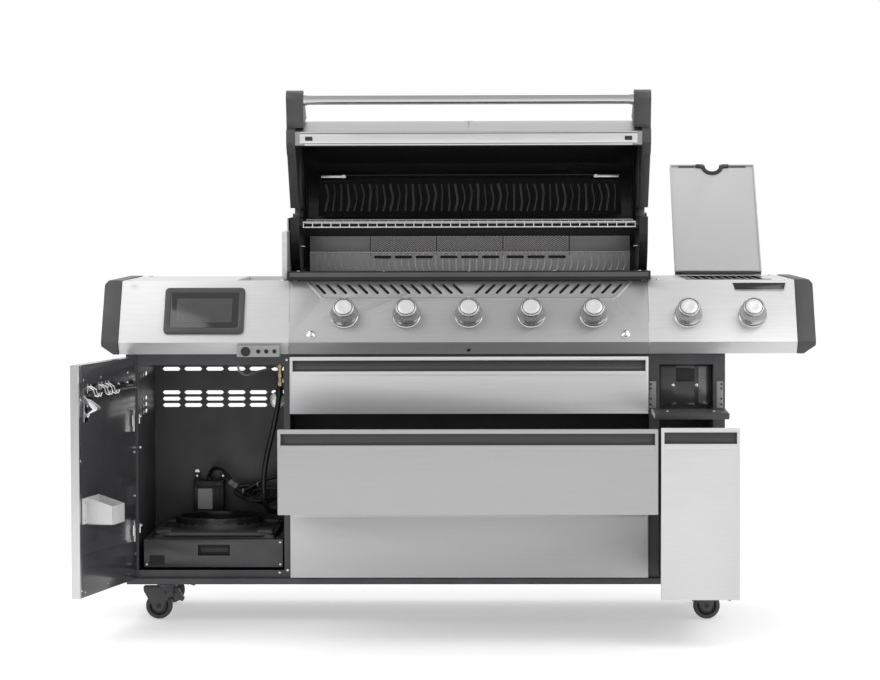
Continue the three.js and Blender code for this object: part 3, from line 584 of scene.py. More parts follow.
def panel_details():
    """The pressed border round the vents, two round caps, a lamp and the shelf's blank plaque."""
    border = Shape()
    path = [(-446, -1), (-404, -52), (-392, -57), (392, -57), (404, -52), (446, -1)]
    for (x0, v0), (x1, v1) in zip(path, path[1:]):
        run = Vector((x1 - x0, v1 - v0, 0)).normalized()
        out = Vector((run.y, -run.x, 0))
        section = [(-5.0, 0.05), (-1.0, 1.7), (1.5, 1.9), (5.5, 0.05)]
        rings = [[tuple(Vector((x, v, 0)) + out * a + Vector((0, 0, h))) for a, h in section]
                 for x, v in ((x0, v0), (x1, v1))]
        border.loft(rings)
    finish_piece("panel_border", border, "cart", "panel_steel", SLOPE, sharp=50)
    cap = [(0, 0.1), (12, 0.1), (12, 2.0), (10.5, 3.2), (9.6, 3.4), (8.6, 5.6), (5.0, 7.4), (0, 8.0)]
    turned_heads("panel_caps", "cart", "chrome", cap, [(-432, -171, 0), (429, -171, 0)], SLOPE,
                 axis="Z", steps=36)
    lamp = Shape().spin([(0, -1), (5.2, -1), (5.2, 0.8), (3.8, 1.8), (0, 2.2)], CENTRE, steps=24)
    band = local((0, -4.6, 748), 125, "X")
    finish_piece("panel_lamp", lamp, "cart", "black_plastic", band)
    corners = [(726, -8), (872, -8), (866, -32), (732, -32)]
    plaque = Shape().plate(corners, 0.2, 2.6, edge=0.8)
    finish_piece("blank_plaque", plaque, "cart", "black_enamel", SLOPE)
    rim = Shape().tube([(x, v, 2.4) for x, v in corners], 0.9, 6, True)
    finish_piece("plaque_rim", rim, "cart", "satin_chrome", SLOPE)


def display_details():
    """The bezel's soft rim, the glass and the darkened picture area."""
    refine("display", "cart", "dark_plastic", 3.0)
    place = SLOPE @ Matrix.Translation((-726, -97, 0))
    glass = Shape().plate(rounded(-93, 93, -55, 55, 5), 5.4, 7.4, "Z", 0.5)
    finish_piece("display_glass", glass, "cart", "glass_black", place)
    picture_area = Shape().plate(rounded(-76, 76, -38, 38, 2), 7.3, 7.7, "Z", 0.15)
    finish_piece("display_picture", picture_area, "cart", "screen_grey", place)


def port_details():
    """The module's rounded shell, dark sockets, and the button with its ring."""
    refine("port_module", "cart", "grey_plastic", 1.4)
    sockets = Shape()
    for x in (-574, -552, -530):
        sockets.spin([(0, -27.5), (5.8, -27.5), (5.8, -31.0), (4.6, -31.0), (4.6, -28.2), (0, -28.2)],
                     (x, 0, 746), "Y", 24)
    finish_piece("port_sockets", sockets, "cart", "black_plastic")
    button = Shape().spin([(0, -26.2), (11.6, -26.2), (11.6, -35.4), (10.4, -37.6), (8.4, -37.9),
                           (7.8, -36.9), (0, -36.5)], (-609, 0, 746), "Y", 40)
    finish_piece("power_button_cap", button, "button", "black_plastic", replaces=("power_button",))


def shelf_screws():
    """Socket-head screws at the corners of the two shelf tops."""
    head = [(0, 0.1), (6.4, 0.1), (6.2, 1.6), (4.6, 3.0), (2.4, 3.2), (2.4, 1.8), (0, 1.6)]
    spots = [(x, y, SHELF_TOP) for x in (-932, -512, 520, 872) for y in (60, 560)]
    turned_heads("shelf_screws", "cart", "satin_chrome", head, spots, axis="Z", steps=20)


knobs()
panel_details()
display_details()
port_details()
shelf_screws()


# ---------------------------------------------------------------- lid

LID_KNOTS = ((-6, 973), (34, 1060), (75, 1120), (130, 1180), (200, 1235), (290, 1275), (380, 1290),
             (470, 1265), (540, 1205), (575, 1100))


def lid_curve():
    """The lid's outer profile, as (Y, Z) pairs of the closed lid."""
    steps = 44
    knots = [Vector(p) for p in LID_KNOTS]
    knots = [knots[0]] + knots + [knots[-1]]
    spans = len(LID_KNOTS) - 1
    points = []
    for k in range(steps + 1):
        place = min(spans * k / steps, spans - 1e-6)
        i, t = int(place), place - int(place)
        a, b, c, d = knots[i:i + 4]
        v0, v1 = (c - a) / 2, (d - b) / 2
        p = ((2 * b - 2 * c + v0 + v1) * t ** 3 + (-3 * b + 3 * c - 2 * v0 - v1) * t * t + v0 * t + b)
        points.append((p.x, p.y))
    return points


def beside(points, distance):
    """An open profile moved sideways, to its left for a positive distance."""
    moved = []
    for i, (y, z) in enumerate(points):
        y0, z0 = points[max(i - 1, 0)]
        y1, z1 = points[min(i + 1, len(points) - 1)]
        run = math.hypot(y1 - y0, z1 - z0)
        moved.append((y - distance * (z1 - z0) / run, z + distance * (y1 - y0) / run))
    return moved


def strip(shape, points, near, far, x0, x1):
    """A sheet that follows a profile, between two distances beside it."""
    section = beside(points, near) + beside(points, far)[::-1]
    return shape.plate(section, x0, x1, "X")


def on_hem(start, end, low, high):
    """A rectangle on the lid's front edge: from start to end along it, and off its surface."""
    first = Vector((-6, 973))
    run = (Vector((22, 950)) - first).normalized()
    off = Vector((run.y, -run.x))
    return [tuple(first + run * a + off * b)
            for a, b in ((start, low), (end, low), (end, high), (start, high))]


def lid_skins():
    """A smooth outer skin, the dark liner, the bright folded hem and its rubber bumpers."""
    curve = lid_curve()
    skin = strip(Shape(), curve[:-1], 0.3, 0.9, -475.6, 475.6)
    finish_piece("lid_skin", skin, "lid", "lid_steel", LID, sharp=20)
    liner = strip(Shape(), curve[2:-2], -10.2, -11.2, -474.8, 474.8)
    finish_piece("lid_liner", liner, "lid", "lid_liner", LID, sharp=20)
    hem = Shape()
    hem.plate(on_hem(0, 2.6, 0.2, 1.8), -462.5, 462.5, "X", 0.4)
    hem.plate(on_hem(5.0, 31.0, 0.2, 1.5), -462.5, 462.5, "X", 0.4)
    hem.plate(on_hem(32.6, 36.8, -0.6, 1.6), -449, 449, "X", 0.5)
    finish_piece("lid_hem", hem, "lid", "hem_steel", LID)
    # Dark strips in the hem's two grooves are painted shade.
    grooves = Shape()
    grooves.plate(on_hem(2.4, 5.2, 0.2, 0.6), -463, 463, "X")
    grooves.plate(on_hem(30.8, 32.8, 0.2, 0.6), -456, 456, "X")
    finish_piece("lid_hem_groove_shade", grooves, "lid", "dark_plastic", LID)
    bumpers = Shape()
    for side in SIDES:
        bumpers.plate(on_hem(12.5, 24.0, 1.2, 4.0), *flank(side, 428, 448), "X", 0.8)
    finish_piece("lid_bumpers", bumpers, "lid", "rubber", LID)


def lid_inside():
    """The polished rear baffle with its clips and lighter wavy ribs that paint the reflection of the
    grid rods, the side linings and the gauge probe.
    """
    back = LID.inverted()
    section = [(505, 1226), (460, 1112), (459, 1112.4), (503.5, 1226.4), (500, 1229), (492, 1229),
               (492, 1230.2), (501, 1230.4)]
    baffle = Shape().plate(section, -436, 436, "X").moved(back)
    finish_piece("lid_baffle", baffle, "lid", "baffle_black", LID)
    clips = Shape()
    for side in SIDES:
        clips.box(flank(side, 358, 430), (487, 491.5), (1222, 1229.5), 1.0)
        clips.spin([(0, -3), (5, -3), (5, 1), (0, 2)], (side * 364, 486.5, 1225.8), "Y", 14)
    finish_piece("lid_baffle_clips", clips.moved(back), "lid", "satin_chrome", LID)
    # Wavy ribs in a lighter black: a painted reflection of the cooking grid rods.
    ribs = Shape()
    for k in range(-20, 21):
        x = 20.8 * k
        path = []
        for step in range(9):
            t = step / 8
            wave = 5.0 * math.sin(math.pi * t) + 1.6 * math.sin(2 * math.pi * t + k * 1.3)
            path.append((x + wave, 495.4 - 30.4 * t, 1202.6 - 77.0 * t))
        ribs.tube(path, 3.1 + 1.0 * math.sin(k * 2.1), 6)
    finish_piece("lid_baffle_reflection_ribs", ribs.moved(back), "lid", "baffle_reflection_rib", LID, sharp=60)
    inner = beside(lid_curve(), -11.4)
    wall = inner[1:40] + [(500, 1170), (420, 1200), (330, 1215), (230, 1180), (150, 1120), (90, 1050)]
    linings = Shape()
    for side in SIDES:
        linings.plate(wall, *flank(side, 470.5, 474.4), "X", 0.4)
    finish_piece("lid_side_linings", linings, "lid", "lid_liner", LID)
    probe = Shape().tube([(0, 14, 1046), (0, 46, 1030)], 2.4, 12)
    for side in SIDES:
        probe.tube([(side * 14, 20, 1032), (side * 14, 30, 1027)], 3.0, 6)
    finish_piece("gauge_probe", probe, "lid", "chrome", LID)


def gauge():
    """A plain round dial on the lid's front, with tick marks and a needle."""
    place = LID @ Matrix.Translation((0, 168, 1211)) @ Matrix.Rotation(math.radians(34), 4, "X")
    ring = Shape().spin([(31, -1), (43, -1), (44, 2), (43, 5), (39, 6.5), (35, 6), (33, 4.5),
                         (31, 4)], CENTRE, steps=56)
    finish_piece("gauge_ring", ring, "lid", "chrome", place)
    dial = Shape().spin([(0, -1), (32.5, -1), (32.5, 3.4), (0, 3.6)], CENTRE, steps=48)
    finish_piece("gauge_dial", dial, "lid", "label", place)
    marks = Shape()
    for k in range(21):
        turn = math.radians(225 - 13.5 * k)
        inner = 24 if k % 5 == 0 else 27
        tick = Shape().box((inner, 30), (-0.7, 0.7), (3.4, 4.0))
        marks.add(tick, Matrix.Rotation(turn, 4, "Z"))
        tick.bm.free()
    needle = Shape().plate([(-8, -1.4), (24, -0.4), (24, 0.4), (-8, 1.4)], 4.2, 5.0)
    marks.add(needle, Matrix.Rotation(math.radians(215), 4, "Z"))
    needle.bm.free()
    marks.spin([(0, 3.4), (4, 3.4), (4, 5.6), (0, 6)], CENTRE, steps=20)
    finish_piece("gauge_marks", marks, "lid", "black_plastic", place)


def handle():
    """The handle tube with a collar at each end."""
    middle = (0, -65, 1042)
    bar = [(0, -452.6), (15, -452.6), (15, 452.6), (0, 452.6)]
    shape = Shape().spin(bar, middle, "X", 48)
    for side in SIDES:
        collar = [(15, side * 442), (16.4, side * 442.5), (16.4, side * 452.4), (15, side * 452.5)]
        shape.spin(collar, middle, "X", 48)
    finish_piece("lid_handle_tube", shape, "lid", "handle_steel", LID, replaces=("lid_handle",))


def hinge_caps():
    """Round covers on the lid's pivots, outside the castings."""
    caps = Shape()
    for side in SIDES:
        caps.spin([(0, side * 503.2), (11, side * 503.2), (11, side * 505.5), (8, side * 507),
                   (0, side * 507.2)], LID_PIVOT, "X", 28)
    finish_piece("lid_pivot_caps", caps, "cart", "black_plastic")


lid_skins()
lid_inside()
gauge()
handle()
hinge_caps()

# ---------------------------------------------------------------- firebox

ROD_PITCH = 19.2
WAVE = 8.0
BURNER_SECTIONS = (-190.7, 0, 190.7)


def cooking_grids():
    """Wavy round rods from front to back, on two cross bars and two end bars."""
    for i, middle in enumerate((-312, 0, 312), 1):
        shape = Shape()
        for k in range(-7, 8):
            x = middle + k * ROD_PITCH
            path = [(x + WAVE * math.sin(2 * math.pi * (y - 98) / 165), y, 948)
                    for y in range(104, 427, 14)]
            shape.tube(path, 3.7, 8)
        for y in (104, 216, 320, 422):
            shape.box((middle - 153.5, middle + 153.5), (y - 3, y + 3), (944.2, 949.4), 1.0)
        for side in SIDES:
            x = middle + side * 150
            shape.box((x - 3.4, x + 3.4), (99, 427), (944.4, 951.8), 1.2)
        finish_piece(f"cooking_grid_{i}_rods", shape, "cart", "rod_steel",
                     replaces=(f"cooking_grid_{i}",), sharp=40)


def warming_rack():
    """Front ladder of two wires with ties, and wires running back over the middle and rear bars."""
    shape = Shape()
    for y, z, r in ((231, 1096.2, 2.1), (231, 1081.8, 2.1), (315.5, 1092, 1.6), (400.5, 1101.0, 1.5)):
        shape.tube([(-467.5, y, z), (467.5, y, z)], r, 10)
    for k in range(37):
        x = -465.6 + k * 25.86
        shape.tube([(x, 230, 1081.8), (x, 230, 1094.0), (x, 233, 1095.0), (x, 394, 1093.4),
                    (x, 400.5, 1101)], 1.35, 6)
    finish_piece("warming_rack_wires", shape, "cart", "rack_chrome", replaces=("warming_rack",),
                 sharp=60)


def rear_burner():
    """The infrared burner's housing with a rounded lower face, slots, and woven mesh above."""
    lower = [(486, 1053), (452, 1053), (450, 1009), (438, 1006), (436.6, 1003), (438.2, 985),
             (440.2, 968), (443, 951), (486, 950.5)]
    shape = Shape().plate(lower, -459.8, 459.8, "X")
    finish_piece("rear_burner_housing", shape, "cart", "burner_steel", replaces=("rear_burner",),
                 sharp=14)
    # Near-black slots in the lower face paint the shade in its openings.
    slots = Shape()
    for section in BURNER_SECTIONS:
        for k in (-1, 0, 1):
            x = section + 60 * k
            slots.plate(rounded(x - 25, x + 25, 989.8, 997.8, 3.8, 4), 434.6, 442, "Y")
    finish_piece("rear_burner_slots", slots, "cart", "soot_and_shade_black")
    seams = Shape()
    for x in (-286, -95.4, 95.4, 286):
        seams.box((x - 0.9, x + 0.9), (446.6, 452.5), (1010, 1052.5), 0.3)
        seams.box((x - 0.9, x + 0.9), (435.2, 438), (998, 1006), 0.3)
    finish_piece("rear_burner_seams", seams, "cart", "soot_and_shade_black")
    lip = Shape().tube([(-459.6, 438.6, 1007.2), (459.6, 438.6, 1007.2)], 1.7, 8)
    finish_piece("rear_burner_lip", lip, "cart", "arc_steel")
    weave = Shape()
    for section in BURNER_SECTIONS:
        for row in range(7):
            z = 1014.0 + 6.0 * row
            path = [(section - 93.6 + 5.2 * k, 449.0, z + (2.9 if k % 2 else -2.9))
                    for k in range(37)]
            weave.tube(path, 1.35, 4)
    finish_piece("rear_burner_mesh", weave, "cart", "mesh_steel", sharp=60)
    back = Shape().box((-285, 285), (449.0, 449.6), (1009.6, 1052.4))
    finish_piece("rear_burner_mesh_back", back, "cart", "mesh_shade")
    ends = Shape()
    for side in SIDES:
        ends.box(flank(side, 286.5, 459.4), (449.0, 452), (1009.6, 1052.6), 0.4)
    finish_piece("rear_burner_ends", ends, "cart", "burner_dull")


def burner_ribs():
    """Shallow bowed ribs pressed into the burner's lower face, leaning out to both sides."""
    ribs = Shape()
    for k in range(-23, 24):
        x = 19.3 * k
        bow = -7.5 * max(-1, min(1, k / 10))
        path = []
        for step in range(9):
            t = step / 8
            path.append((x - bow * (4 * t * (1 - t) - 0.5), 436.9 + 5.8 * t, 1004.5 - 50.5 * t))
        ribs.tube(path, 1.5 + 0.9 * (1 - min(1, abs(k) / 16)), 6)
    finish_piece("rear_burner_ribs", ribs, "cart", "arc_steel", sharp=60)


def firebox_details():
    """The back and side linings, a strip along the rim, pins for the rack, and the rim's screws."""
    lining = Shape().box((-469.5, 469.5), (486.2, 486.8), (964, 1094.6))
    for side in SIDES:
        lining.box(flank(side, 469, 481), (486.6, 487.6), (952, 1100))
    rim = Shape().box((-494, 494), (58.9, 60.1), (946.5, 958.6), 0.5)
    finish_piece("firebox_rim_strip", rim, "cart", "rim_grey")
    finish_piece("firebox_back_lining", lining, "cart", "soot_and_shade_black")
    pins = Shape()
    for side in SIDES:
        pins.tube([(side * 474, 250, 1028), (side * 462, 250, 1028)], 3.0, 10)
        pins.tube([(side * 475, 400, 1090), (side * 466, 400, 1094)], 2.6, 10)
        pins.tube([(side * 475, 235, 1088), (side * 466, 233, 1092)], 2.6, 10)
    finish_piece("rack_pins", pins, "cart", "satin_chrome")
    head = [(0, 0.1), (4.4, 0.1), (4.2, 1.4), (2.8, 2.2), (0, 2.4)]
    spots = [(235 * k, 75, 962) for k in range(-2, 3)]
    turned_heads("rim_screws", "cart", "satin_chrome", head, spots, axis="Z", steps=16)


cooking_grids()
warming_rack()
rear_burner()
burner_ribs()
firebox_details()


# ---------------------------------------------------------------- left bay

CABLE_SEED = 7
TRAY_MIDDLE = -707.5
RING_CENTRE = (-707, 250, 0)


def transformer():
    """A potted box with ribs, a blank label, two screwed ears, its lead and a connector."""
    body = Shape().box((-796, -709), (396, 460), (266.2, 352), 3.0)
    body.box((-792, -713), (391, 397), (334, 350), 2.0)
    for x in (-790, -715):
        body.box((x - 8, x + 8), (452, 465.4), (338, 372), 2.5)
        body.box((x - 4, x + 4), (393.5, 397), (268, 350), 1.2)
    body.box((-732, -722), (392, 397), (268, 345), 1.5)
    finish_piece("transformer_body", body, "cart", "black_plastic", replaces=("transformer",))
    label = Shape().plate(rounded(-783, -741, 271, 330, 2.5), 393.2, 396.2, "Y", 0.3)
    finish_piece("transformer_label", label, "cart", "label")
    screws = Shape()
    for x in (-790, -715):
        screws.spin([(0, 451.5), (5, 451.5), (5, 449.5), (3, 448), (0, 448)], (x, 0, 362), "Y", 18)
        screws.spin([(0, 456), (6.5, 456), (6.5, 466), (0, 466)], (x, 0, 374), "Y", 14)
    finish_piece("transformer_screws", screws, "cart", "satin_chrome")
    lead = Shape()
    lead.tube(eased([(-752, 424, 348), (-752, 420, 366), (-741, 412, 384), (-722, 404, 387),
                     (-702, 397, 374), (-688, 392, 356)]), 5.2, 12)
    lead.spin([(0, 346), (8, 346), (7, 360), (5.4, 362), (0, 362)], (-752, 422, 0), "Z", 16)
    finish_piece("transformer_lead", lead, "cart", "cable")
    joint = Shape()
    frame = local((-680, 391, 344), 38, "Y")
    for low, high in ((-14, -1), (1.0, 13)):
        block = Shape().box((low, high), (-9, 9), (-7, 7), 1.2)
        joint.add(block, frame)
        block.bm.free()
    finish_piece("lead_connector", joint, "cart", "grey_plastic")


def harness():
    """Loops of bundled cable behind the tray, tied near the connector, running to the wall."""
    luck = random.Random(CABLE_SEED)
    shape = Shape()
    for _ in range(7):
        middle = Vector((luck.uniform(-640, -570), luck.uniform(388, 412), luck.uniform(302, 330)))
        wide, tall, lean = luck.uniform(20, 44), luck.uniform(12, 24), luck.uniform(-0.5, 0.5)
        path = []
        for k in range(26):
            turn = 2 * math.pi * k / 26
            x, z = wide * math.cos(turn), tall * math.sin(turn)
            path.append(middle + Vector((x * math.cos(lean) - z * math.sin(lean),
                                         8 * math.sin(turn + lean),
                                         x * math.sin(lean) + z * math.cos(lean))))
        shape.tube(path, luck.uniform(3.2, 5.0), 8, True)
    shape.tube(eased([(-672, 390, 334), (-655, 386, 324), (-628, 384, 336), (-598, 386, 352),
                      (-562, 388, 364), (-513, 392, 372)]), 5.5, 10)
    shape.tube(eased([(-660, 388, 318), (-640, 380, 300), (-606, 378, 296), (-570, 384, 306),
                      (-513, 396, 300)]), 4.2, 10)
    finish_piece("cable_harness", shape, "cart", "cable")
    ties = Shape()
    for x, z in ((-652, 324), (-610, 344), (-540, 368)):
        ties.spin([(7.4, -2), (8.6, -2), (8.6, 2), (7.4, 2)], (x, 387, z), "X", 18)
    finish_piece("harness_ties", ties, "cart", "grey_plastic")


def gas_line():
    """The hose with its ends, the regulator, the brass valve column and the ignition wire."""
    hose = Shape().tube(eased([
        (-528, 150, 640), (-534, 152, 590), (-548, 160, 520), (-566, 176, 450), (-577, 190, 385),
        (-577, 205, 320), (-566, 240, 282), (-545, 300, 276)], 10), 7.5, 14)
    hose.box((-560, -509.6), (286, 314), (262.2, 292), 3.0)
    hose.spin([(8.6, 0), (10.4, 1), (10.4, 22), (8.6, 23), (7.4, 23), (7.4, 0)],
              (-530, 151, 612), "Z", 20)
    finish_piece("gas_hose_tube", hose, "cart", "cable", replaces=("gas_hose",))
    regulator = Shape().spin([(0, 177), (20, 177), (23, 174.5), (24, 170), (24, 163), (22, 160),
                              (19.5, 159), (19, 161), (17, 161.5), (16.5, 157.5), (12, 156),
                              (0, 155.5)], (-535, 0, 600), "Y", 40)
    regulator.tube([(-516, 168, 600), (-509.8, 168, 600)], 9, 16)
    finish_piece("gas_regulator", regulator, "cart", "satin_chrome")
    brass = Shape()
    column = [(0, 628), (7, 628), (7, 640), (9, 641), (9, 652), (6, 653), (6, 664), (9, 665),
              (9, 676), (6.5, 677), (6.5, 690), (8.5, 691), (8.5, 702), (0, 703)]
    brass.spin(column, (-528, 150, 0), "Z", 6)
    brass.tube([(-528, 150, 696), (-541, 147, 697)], 5, 6)
    finish_piece("gas_fittings", brass, "cart", "brass", sharp=25)
    stay = Shape().box((-522, -509.6), (146, 154), (650, 661), 0.8)
    finish_piece("gas_fitting_stay", stay, "cart", "zinc")
    wire = Shape().tube(eased([(-538, 147, 698), (-560, 120, 690), (-590, 96, 683),
                               (-616, 74, 676), (-634, 56, 690), (-636, 50, 712),
                               (-628, 48, 735)]), 3.0, 8)
    finish_piece("ignition_wire", wire, "cart", "wire_grey")


def tray_details():
    """The tray's louvre, grip recess and screws, its plate's moulded rim, and the ring's soft lip."""
    # The louvre is all near-black, painted shade for the vent's openings.
    louvre = Shape().plate(rounded(-882, -840, 154, 181, 2), 26.6, 28.6, "Y", 0.5)
    for k in range(5):
        x = -876 + 7.4 * k
        louvre.box((x, x + 3.2), (25.4, 27.4), (158, 177), 0.6)
    finish_piece("tray_louvre", louvre, "tray", "soot_and_shade_black")
    # A near-black sheet at the back of the grip recess is painted shade.
    grip = Shape().box((-747.4, -660.6), (42.6, 43.6), (180.6, 209.4))
    grip.box((-747.4, -660.6), (28.6, 43), (208.6, 209.6))
    finish_piece("tray_grip_shade", grip, "tray", "soot_and_shade_black")
    slot = Shape().box((-741, -667), (41.4, 42.8), (189, 201), 0.5)
    finish_piece("tray_grip_slot", slot, "tray", "black_plastic")
    head = [(0, 28), (3.2, 28), (3.0, 26.6), (1.6, 26), (0, 26)]
    spots = upright_spots([(-890, 156), (-521, 156), (-521, 217)])
    turned_heads("tray_screws", "tray", "satin_chrome", head, spots)
    outline = rounded(-873, -542, 72, 428, 46, 8)
    mould = Shape().tube([(x, y, 233) for x, y in outline], 7.5, 10, True)
    for side in SIDES:
        x = TRAY_MIDDLE + side * 140
        mould.box((x - 22, x + 22), (74, 150), (232, 246), 6.0)
        mould.box((x - 22, x + 22), (350, 424), (232, 246), 6.0)
    finish_piece("tray_mould", mould, "tray", "tray_grey", sharp=40)
    lip = Shape().spin([(110.5, 242), (123.5, 242), (124, 263), (121, 269.5), (116, 270.5),
                        (111, 268), (110, 259)], RING_CENTRE, "Z", 72)
    finish_piece("tray_ring_lip", lip, "tray", "ring_black", sharp=50)


def bay_details():
    """Screws on the cabinet's side, its left partition and its base."""
    screws = Shape()
    for x, z in ((-905, 480), (-500.5, 140), (-500.5, 720), (-500.5, 430)):
        screws.spin([(0, 25), (3.4, 25), (3.2, 24.7), (0, 24.5)], (x, 0, z), "Y", 14)
    screws.spin([(0, 5), (3.4, 5), (3.2, 3.6), (1.8, 3), (0, 3)], (-521, 0, 136), "Y", 14)
    finish_piece("cabinet_screws", screws, "cart", "satin_chrome")


transformer()
harness()
gas_line()
tray_details()
bay_details()


# ---------------------------------------------------------------- left door


def door_skins():
    """The stainless skin folded round the free edge, the dark inner panel and its screws."""
    skin = Shape().box((0.4, 437.6), (-2.6, -1.4), (119.6, 730.4), 0.5)
    skin.box((435.4, 437.6), (-2.4, 21.0), (119.6, 730.4), 0.6)
    skin.box((428, 437), (19.6, 21.2), (119.6, 700), 0.4)
    skin.box((420, 438.0), (18.5, 22.4), (684, 730.4), 0.8)
    finish_piece("door_skin", skin, "door", "upright_steel", DOOR)
    inner = Shape().box((3, 428), (19.4, 21.0), (123, 727), 0.8)
    inner.box((8, 420), (20.6, 21.8), (128, 230), 0.5)
    finish_piece("door_inner_panel", inner, "door", "door_paint", DOOR)
    head = [(0, 21), (3.6, 21), (3.4, 22.1), (1.8, 22.6), (0, 22.6)]
    spots = upright_spots([
        (6, 668), (6, 470), (6, 350), (6, 190), (424, 640), (424, 480), (424, 140), (400, 690),
        (270, 690), (60, 690), (60, 140), (230, 136), (400, 134)])
    turned_heads("door_screws", "door", "chrome", head, spots, DOOR)


def tool_rail():
    """A hook rail across the top of the door with three pairs of bright clips."""
    rail = Shape().box((24, 392), (21, 23), (648, 676), 0.6)
    rail.box((24, 392), (23, 34), (648, 650.5), 0.6)
    rail.box((24, 392), (32, 34), (649, 656), 0.6)
    finish_piece("tool_rail", rail, "door", "rail_dark", DOOR)
    clips = Shape()
    for u in (368, 284, 232):
        clips.box((u - 13, u + 13), (23, 25), (652, 680), 0.8)
        for prong in (u - 10, u + 10):
            clips.tube([(prong, 24, 672), (prong, 40, 662), (prong, 44, 648), (prong, 52, 646),
                        (prong, 56, 656)], 2.2, 8)
    for u in (340, 200, 140, 70):
        clips.spin([(0, 23), (4.5, 23), (4.2, 25), (2, 26.4), (0, 26.4)], (u, 0, 664), "Y", 16)
    finish_piece("tool_clips", clips, "door", "chrome", DOOR)


def bottle_opener():
    """A folded chrome opener: two flared cheeks meeting at a nose that stands off the door."""
    shape = Shape().box((372, 402), (21, 23), (580, 654), 1.0)
    side = [(22, 646), (58, 618), (56, 612), (30, 600), (22, 588), (22, 596), (46, 614), (22, 634)]
    shape.plate(side, 372, 375, "X", 0.5)
    shape.plate(side, 399, 402, "X", 0.5)
    shape.plate([(24, 648), (60, 618), (58, 615.4), (22.6, 645)], 374, 400, "X", 0.6)
    shape.plate([(28, 598), (58, 612), (57, 614.4), (27, 600.6)], 374, 400, "X", 0.6)
    finish_piece("bottle_opener", shape, "door", "chrome", DOOR)


def cap_bin():
    """A small open bin with a sloping rim, screwed to the door by a side flange."""
    u0, u1, v0, v1, low = 293, 383, 21.2, 93, 310
    t = 1.6
    side = [(v0, low), (v1, low), (v1, 359), (v0, 381.5)]
    shape = Shape()
    shape.plate(side, u0, u0 + t, "X", 0.3)
    shape.plate(side, u1 - t, u1, "X", 0.3)
    shape.box((u0, u1), (v1 - t, v1), (low, 359), 0.3)
    shape.box((u0, u1), (v0, v0 + t), (low, 381.5), 0.3)
    shape.box((u0, u1), (v0, v1), (low, low + t), 0.3)
    shape.box((u1 - 1, 420), (v0, v0 + 1.8), (low + 3, 381), 0.4)
    finish_piece("cap_bin", shape, "door", "bin_grey", DOOR)
    head = [(0, 23), (3.4, 23), (3.2, 24.6), (0, 25)]
    spots = upright_spots([(403, 322), (403, 369)])
    turned_heads("cap_bin_screws", "door", "satin_chrome", head, spots, DOOR)


def hinges():
    """Two concealed hinges: a plate and cup on the door, and an arm on the cabinet side."""
    door_part = Shape()
    arms = Shape()
    for z in (558, 256):
        door_part.box((30, 36), (21, 30), (z - 30, z + 30), 1.5)
        door_part.box((12, 31), (21, 22.6), (z - 26, z + 26), 0.6)
        door_part.tube([(32.6, 24, z - 14), (32.6, 24, z + 14)], 4.0, 14)
        for dz in (-20, 20):
            door_part.spin([(0, 22.4), (3.6, 22.4), (3.2, 24), (0, 24.6)], (27.6, 0, z + dz), "Y", 14)
        arms.box((-931, -912), (26.5, 32), (z - 9, z + 9), 1.4)
        arms.box((-911, -906), (27, 62), (z - 13, z + 13), 1.4)
        arms.tube([(-927, 28.8, z - 11), (-927, 28.8, z + 11)], 4.5, 14)
        for y in (38, 54):
            arms.spin([(0, -906), (3.8, -906), (3.4, -904), (0, -903.6)], (0, y, z + 6), "X", 14)
    finish_piece("door_hinge_cups", door_part, "door", "chrome", DOOR)
    finish_piece("door_hinge_arms", arms, "cart", "chrome")


door_skins()
tool_rail()
bottle_opener()
cap_bin()
hinges()


# ---------------------------------------------------------------- drawers, flap and right column

STACK = 491  # half the width of the three wide fronts
TRAVEL = 490  # of a drawn-out drawer
SIDE_BURNER = (718, 295)
SIDE_LID_EDGE = -410  # the side lid's free edge, from its hinge

# Each front's X range, how far it is drawn out, its top edge and its look; the top and middle looks
# are lighter and darker copies of the front steel, painted light and painted shade.
FRONTS = {
    "top_drawer": (-STACK, STACK, 0, 729, "upper_steel_painted_light"),
    "middle_drawer": (-STACK, STACK, TRAVEL, 566, "middle_steel_painted_shade"),
    "bottom_drawer": (-STACK, STACK, 0, 341, "front_steel"),
    "pullout": (499, 702, TRAVEL, 569, "front_steel"),
}

# Each box's X range and the height of its rim.
BOXES = {
    "top_drawer": (-477, 477, 675),
    "middle_drawer": (-477, 477, 508),
    "bottom_drawer": (-477, 477, 287),
    "pullout": (534, 658, 437),
}

# The X of each box's left and right runner, and their height.
RUNNERS = {
    "top_drawer": (-481, 481, 591),
    "middle_drawer": (-481, 481, 364),
    "bottom_drawer": (-481, 481, 143),
    "pullout": (528, 664, 143),
}


def grip_linings():
    """The finger recess's curved channel, lined in dark steel as painted shade, and the folded face
    under it.
    """
    for name, (x0, x1, drawn, top, look) in FRONTS.items():
        y = -drawn
        curve = [(15.9, -10.3), (15.9, -27), (14.4, -33), (10.5, -37.5), (3.5, -40.6)]
        outer = [(dy - 1.1, dz + (0.9 if dz < -30 else 0)) for dy, dz in curve]
        section = [(y + dy, top + dz) for dy, dz in curve + outer[::-1]]
        lining = Shape().plate(section, x0 + 8.3, x1 - 8.3, "X", 0.1)
        lining.box((x0 + 8.3, x1 - 8.3), (y + 1.5, y + 15), (top - 11.4, top - 10.2), 0.3)
        finish_piece(f"{name}_grip_lining", lining, name, "recess_shade_and_hem_steel")
        face = Shape().box((x0 + 7.9, x1 - 7.9), (y - 0.15, y + 2.6), (top - 52, top - 41), 0.2)
        face.tube([(x0 + 8.4, y + 1.0, top - 41), (x1 - 8.4, y + 1.0, top - 41)], 1.2, 8)
        finish_piece(f"{name}_face_fold", face, name, look)


def box_rims():
    """A folded rim round the top of each box."""
    for name, (x0, x1, top) in BOXES.items():
        drawn = FRONTS[name][2]
        outline = rounded(x0 + 2, x1 - 2, 26.3 - drawn, 453 - drawn, 6, 3)
        rim = Shape().tube([(x, y, top) for x, y in outline], 1.8, 8, True)
        finish_piece(f"{name}_rim", rim, name, "drawer_dark", sharp=60)


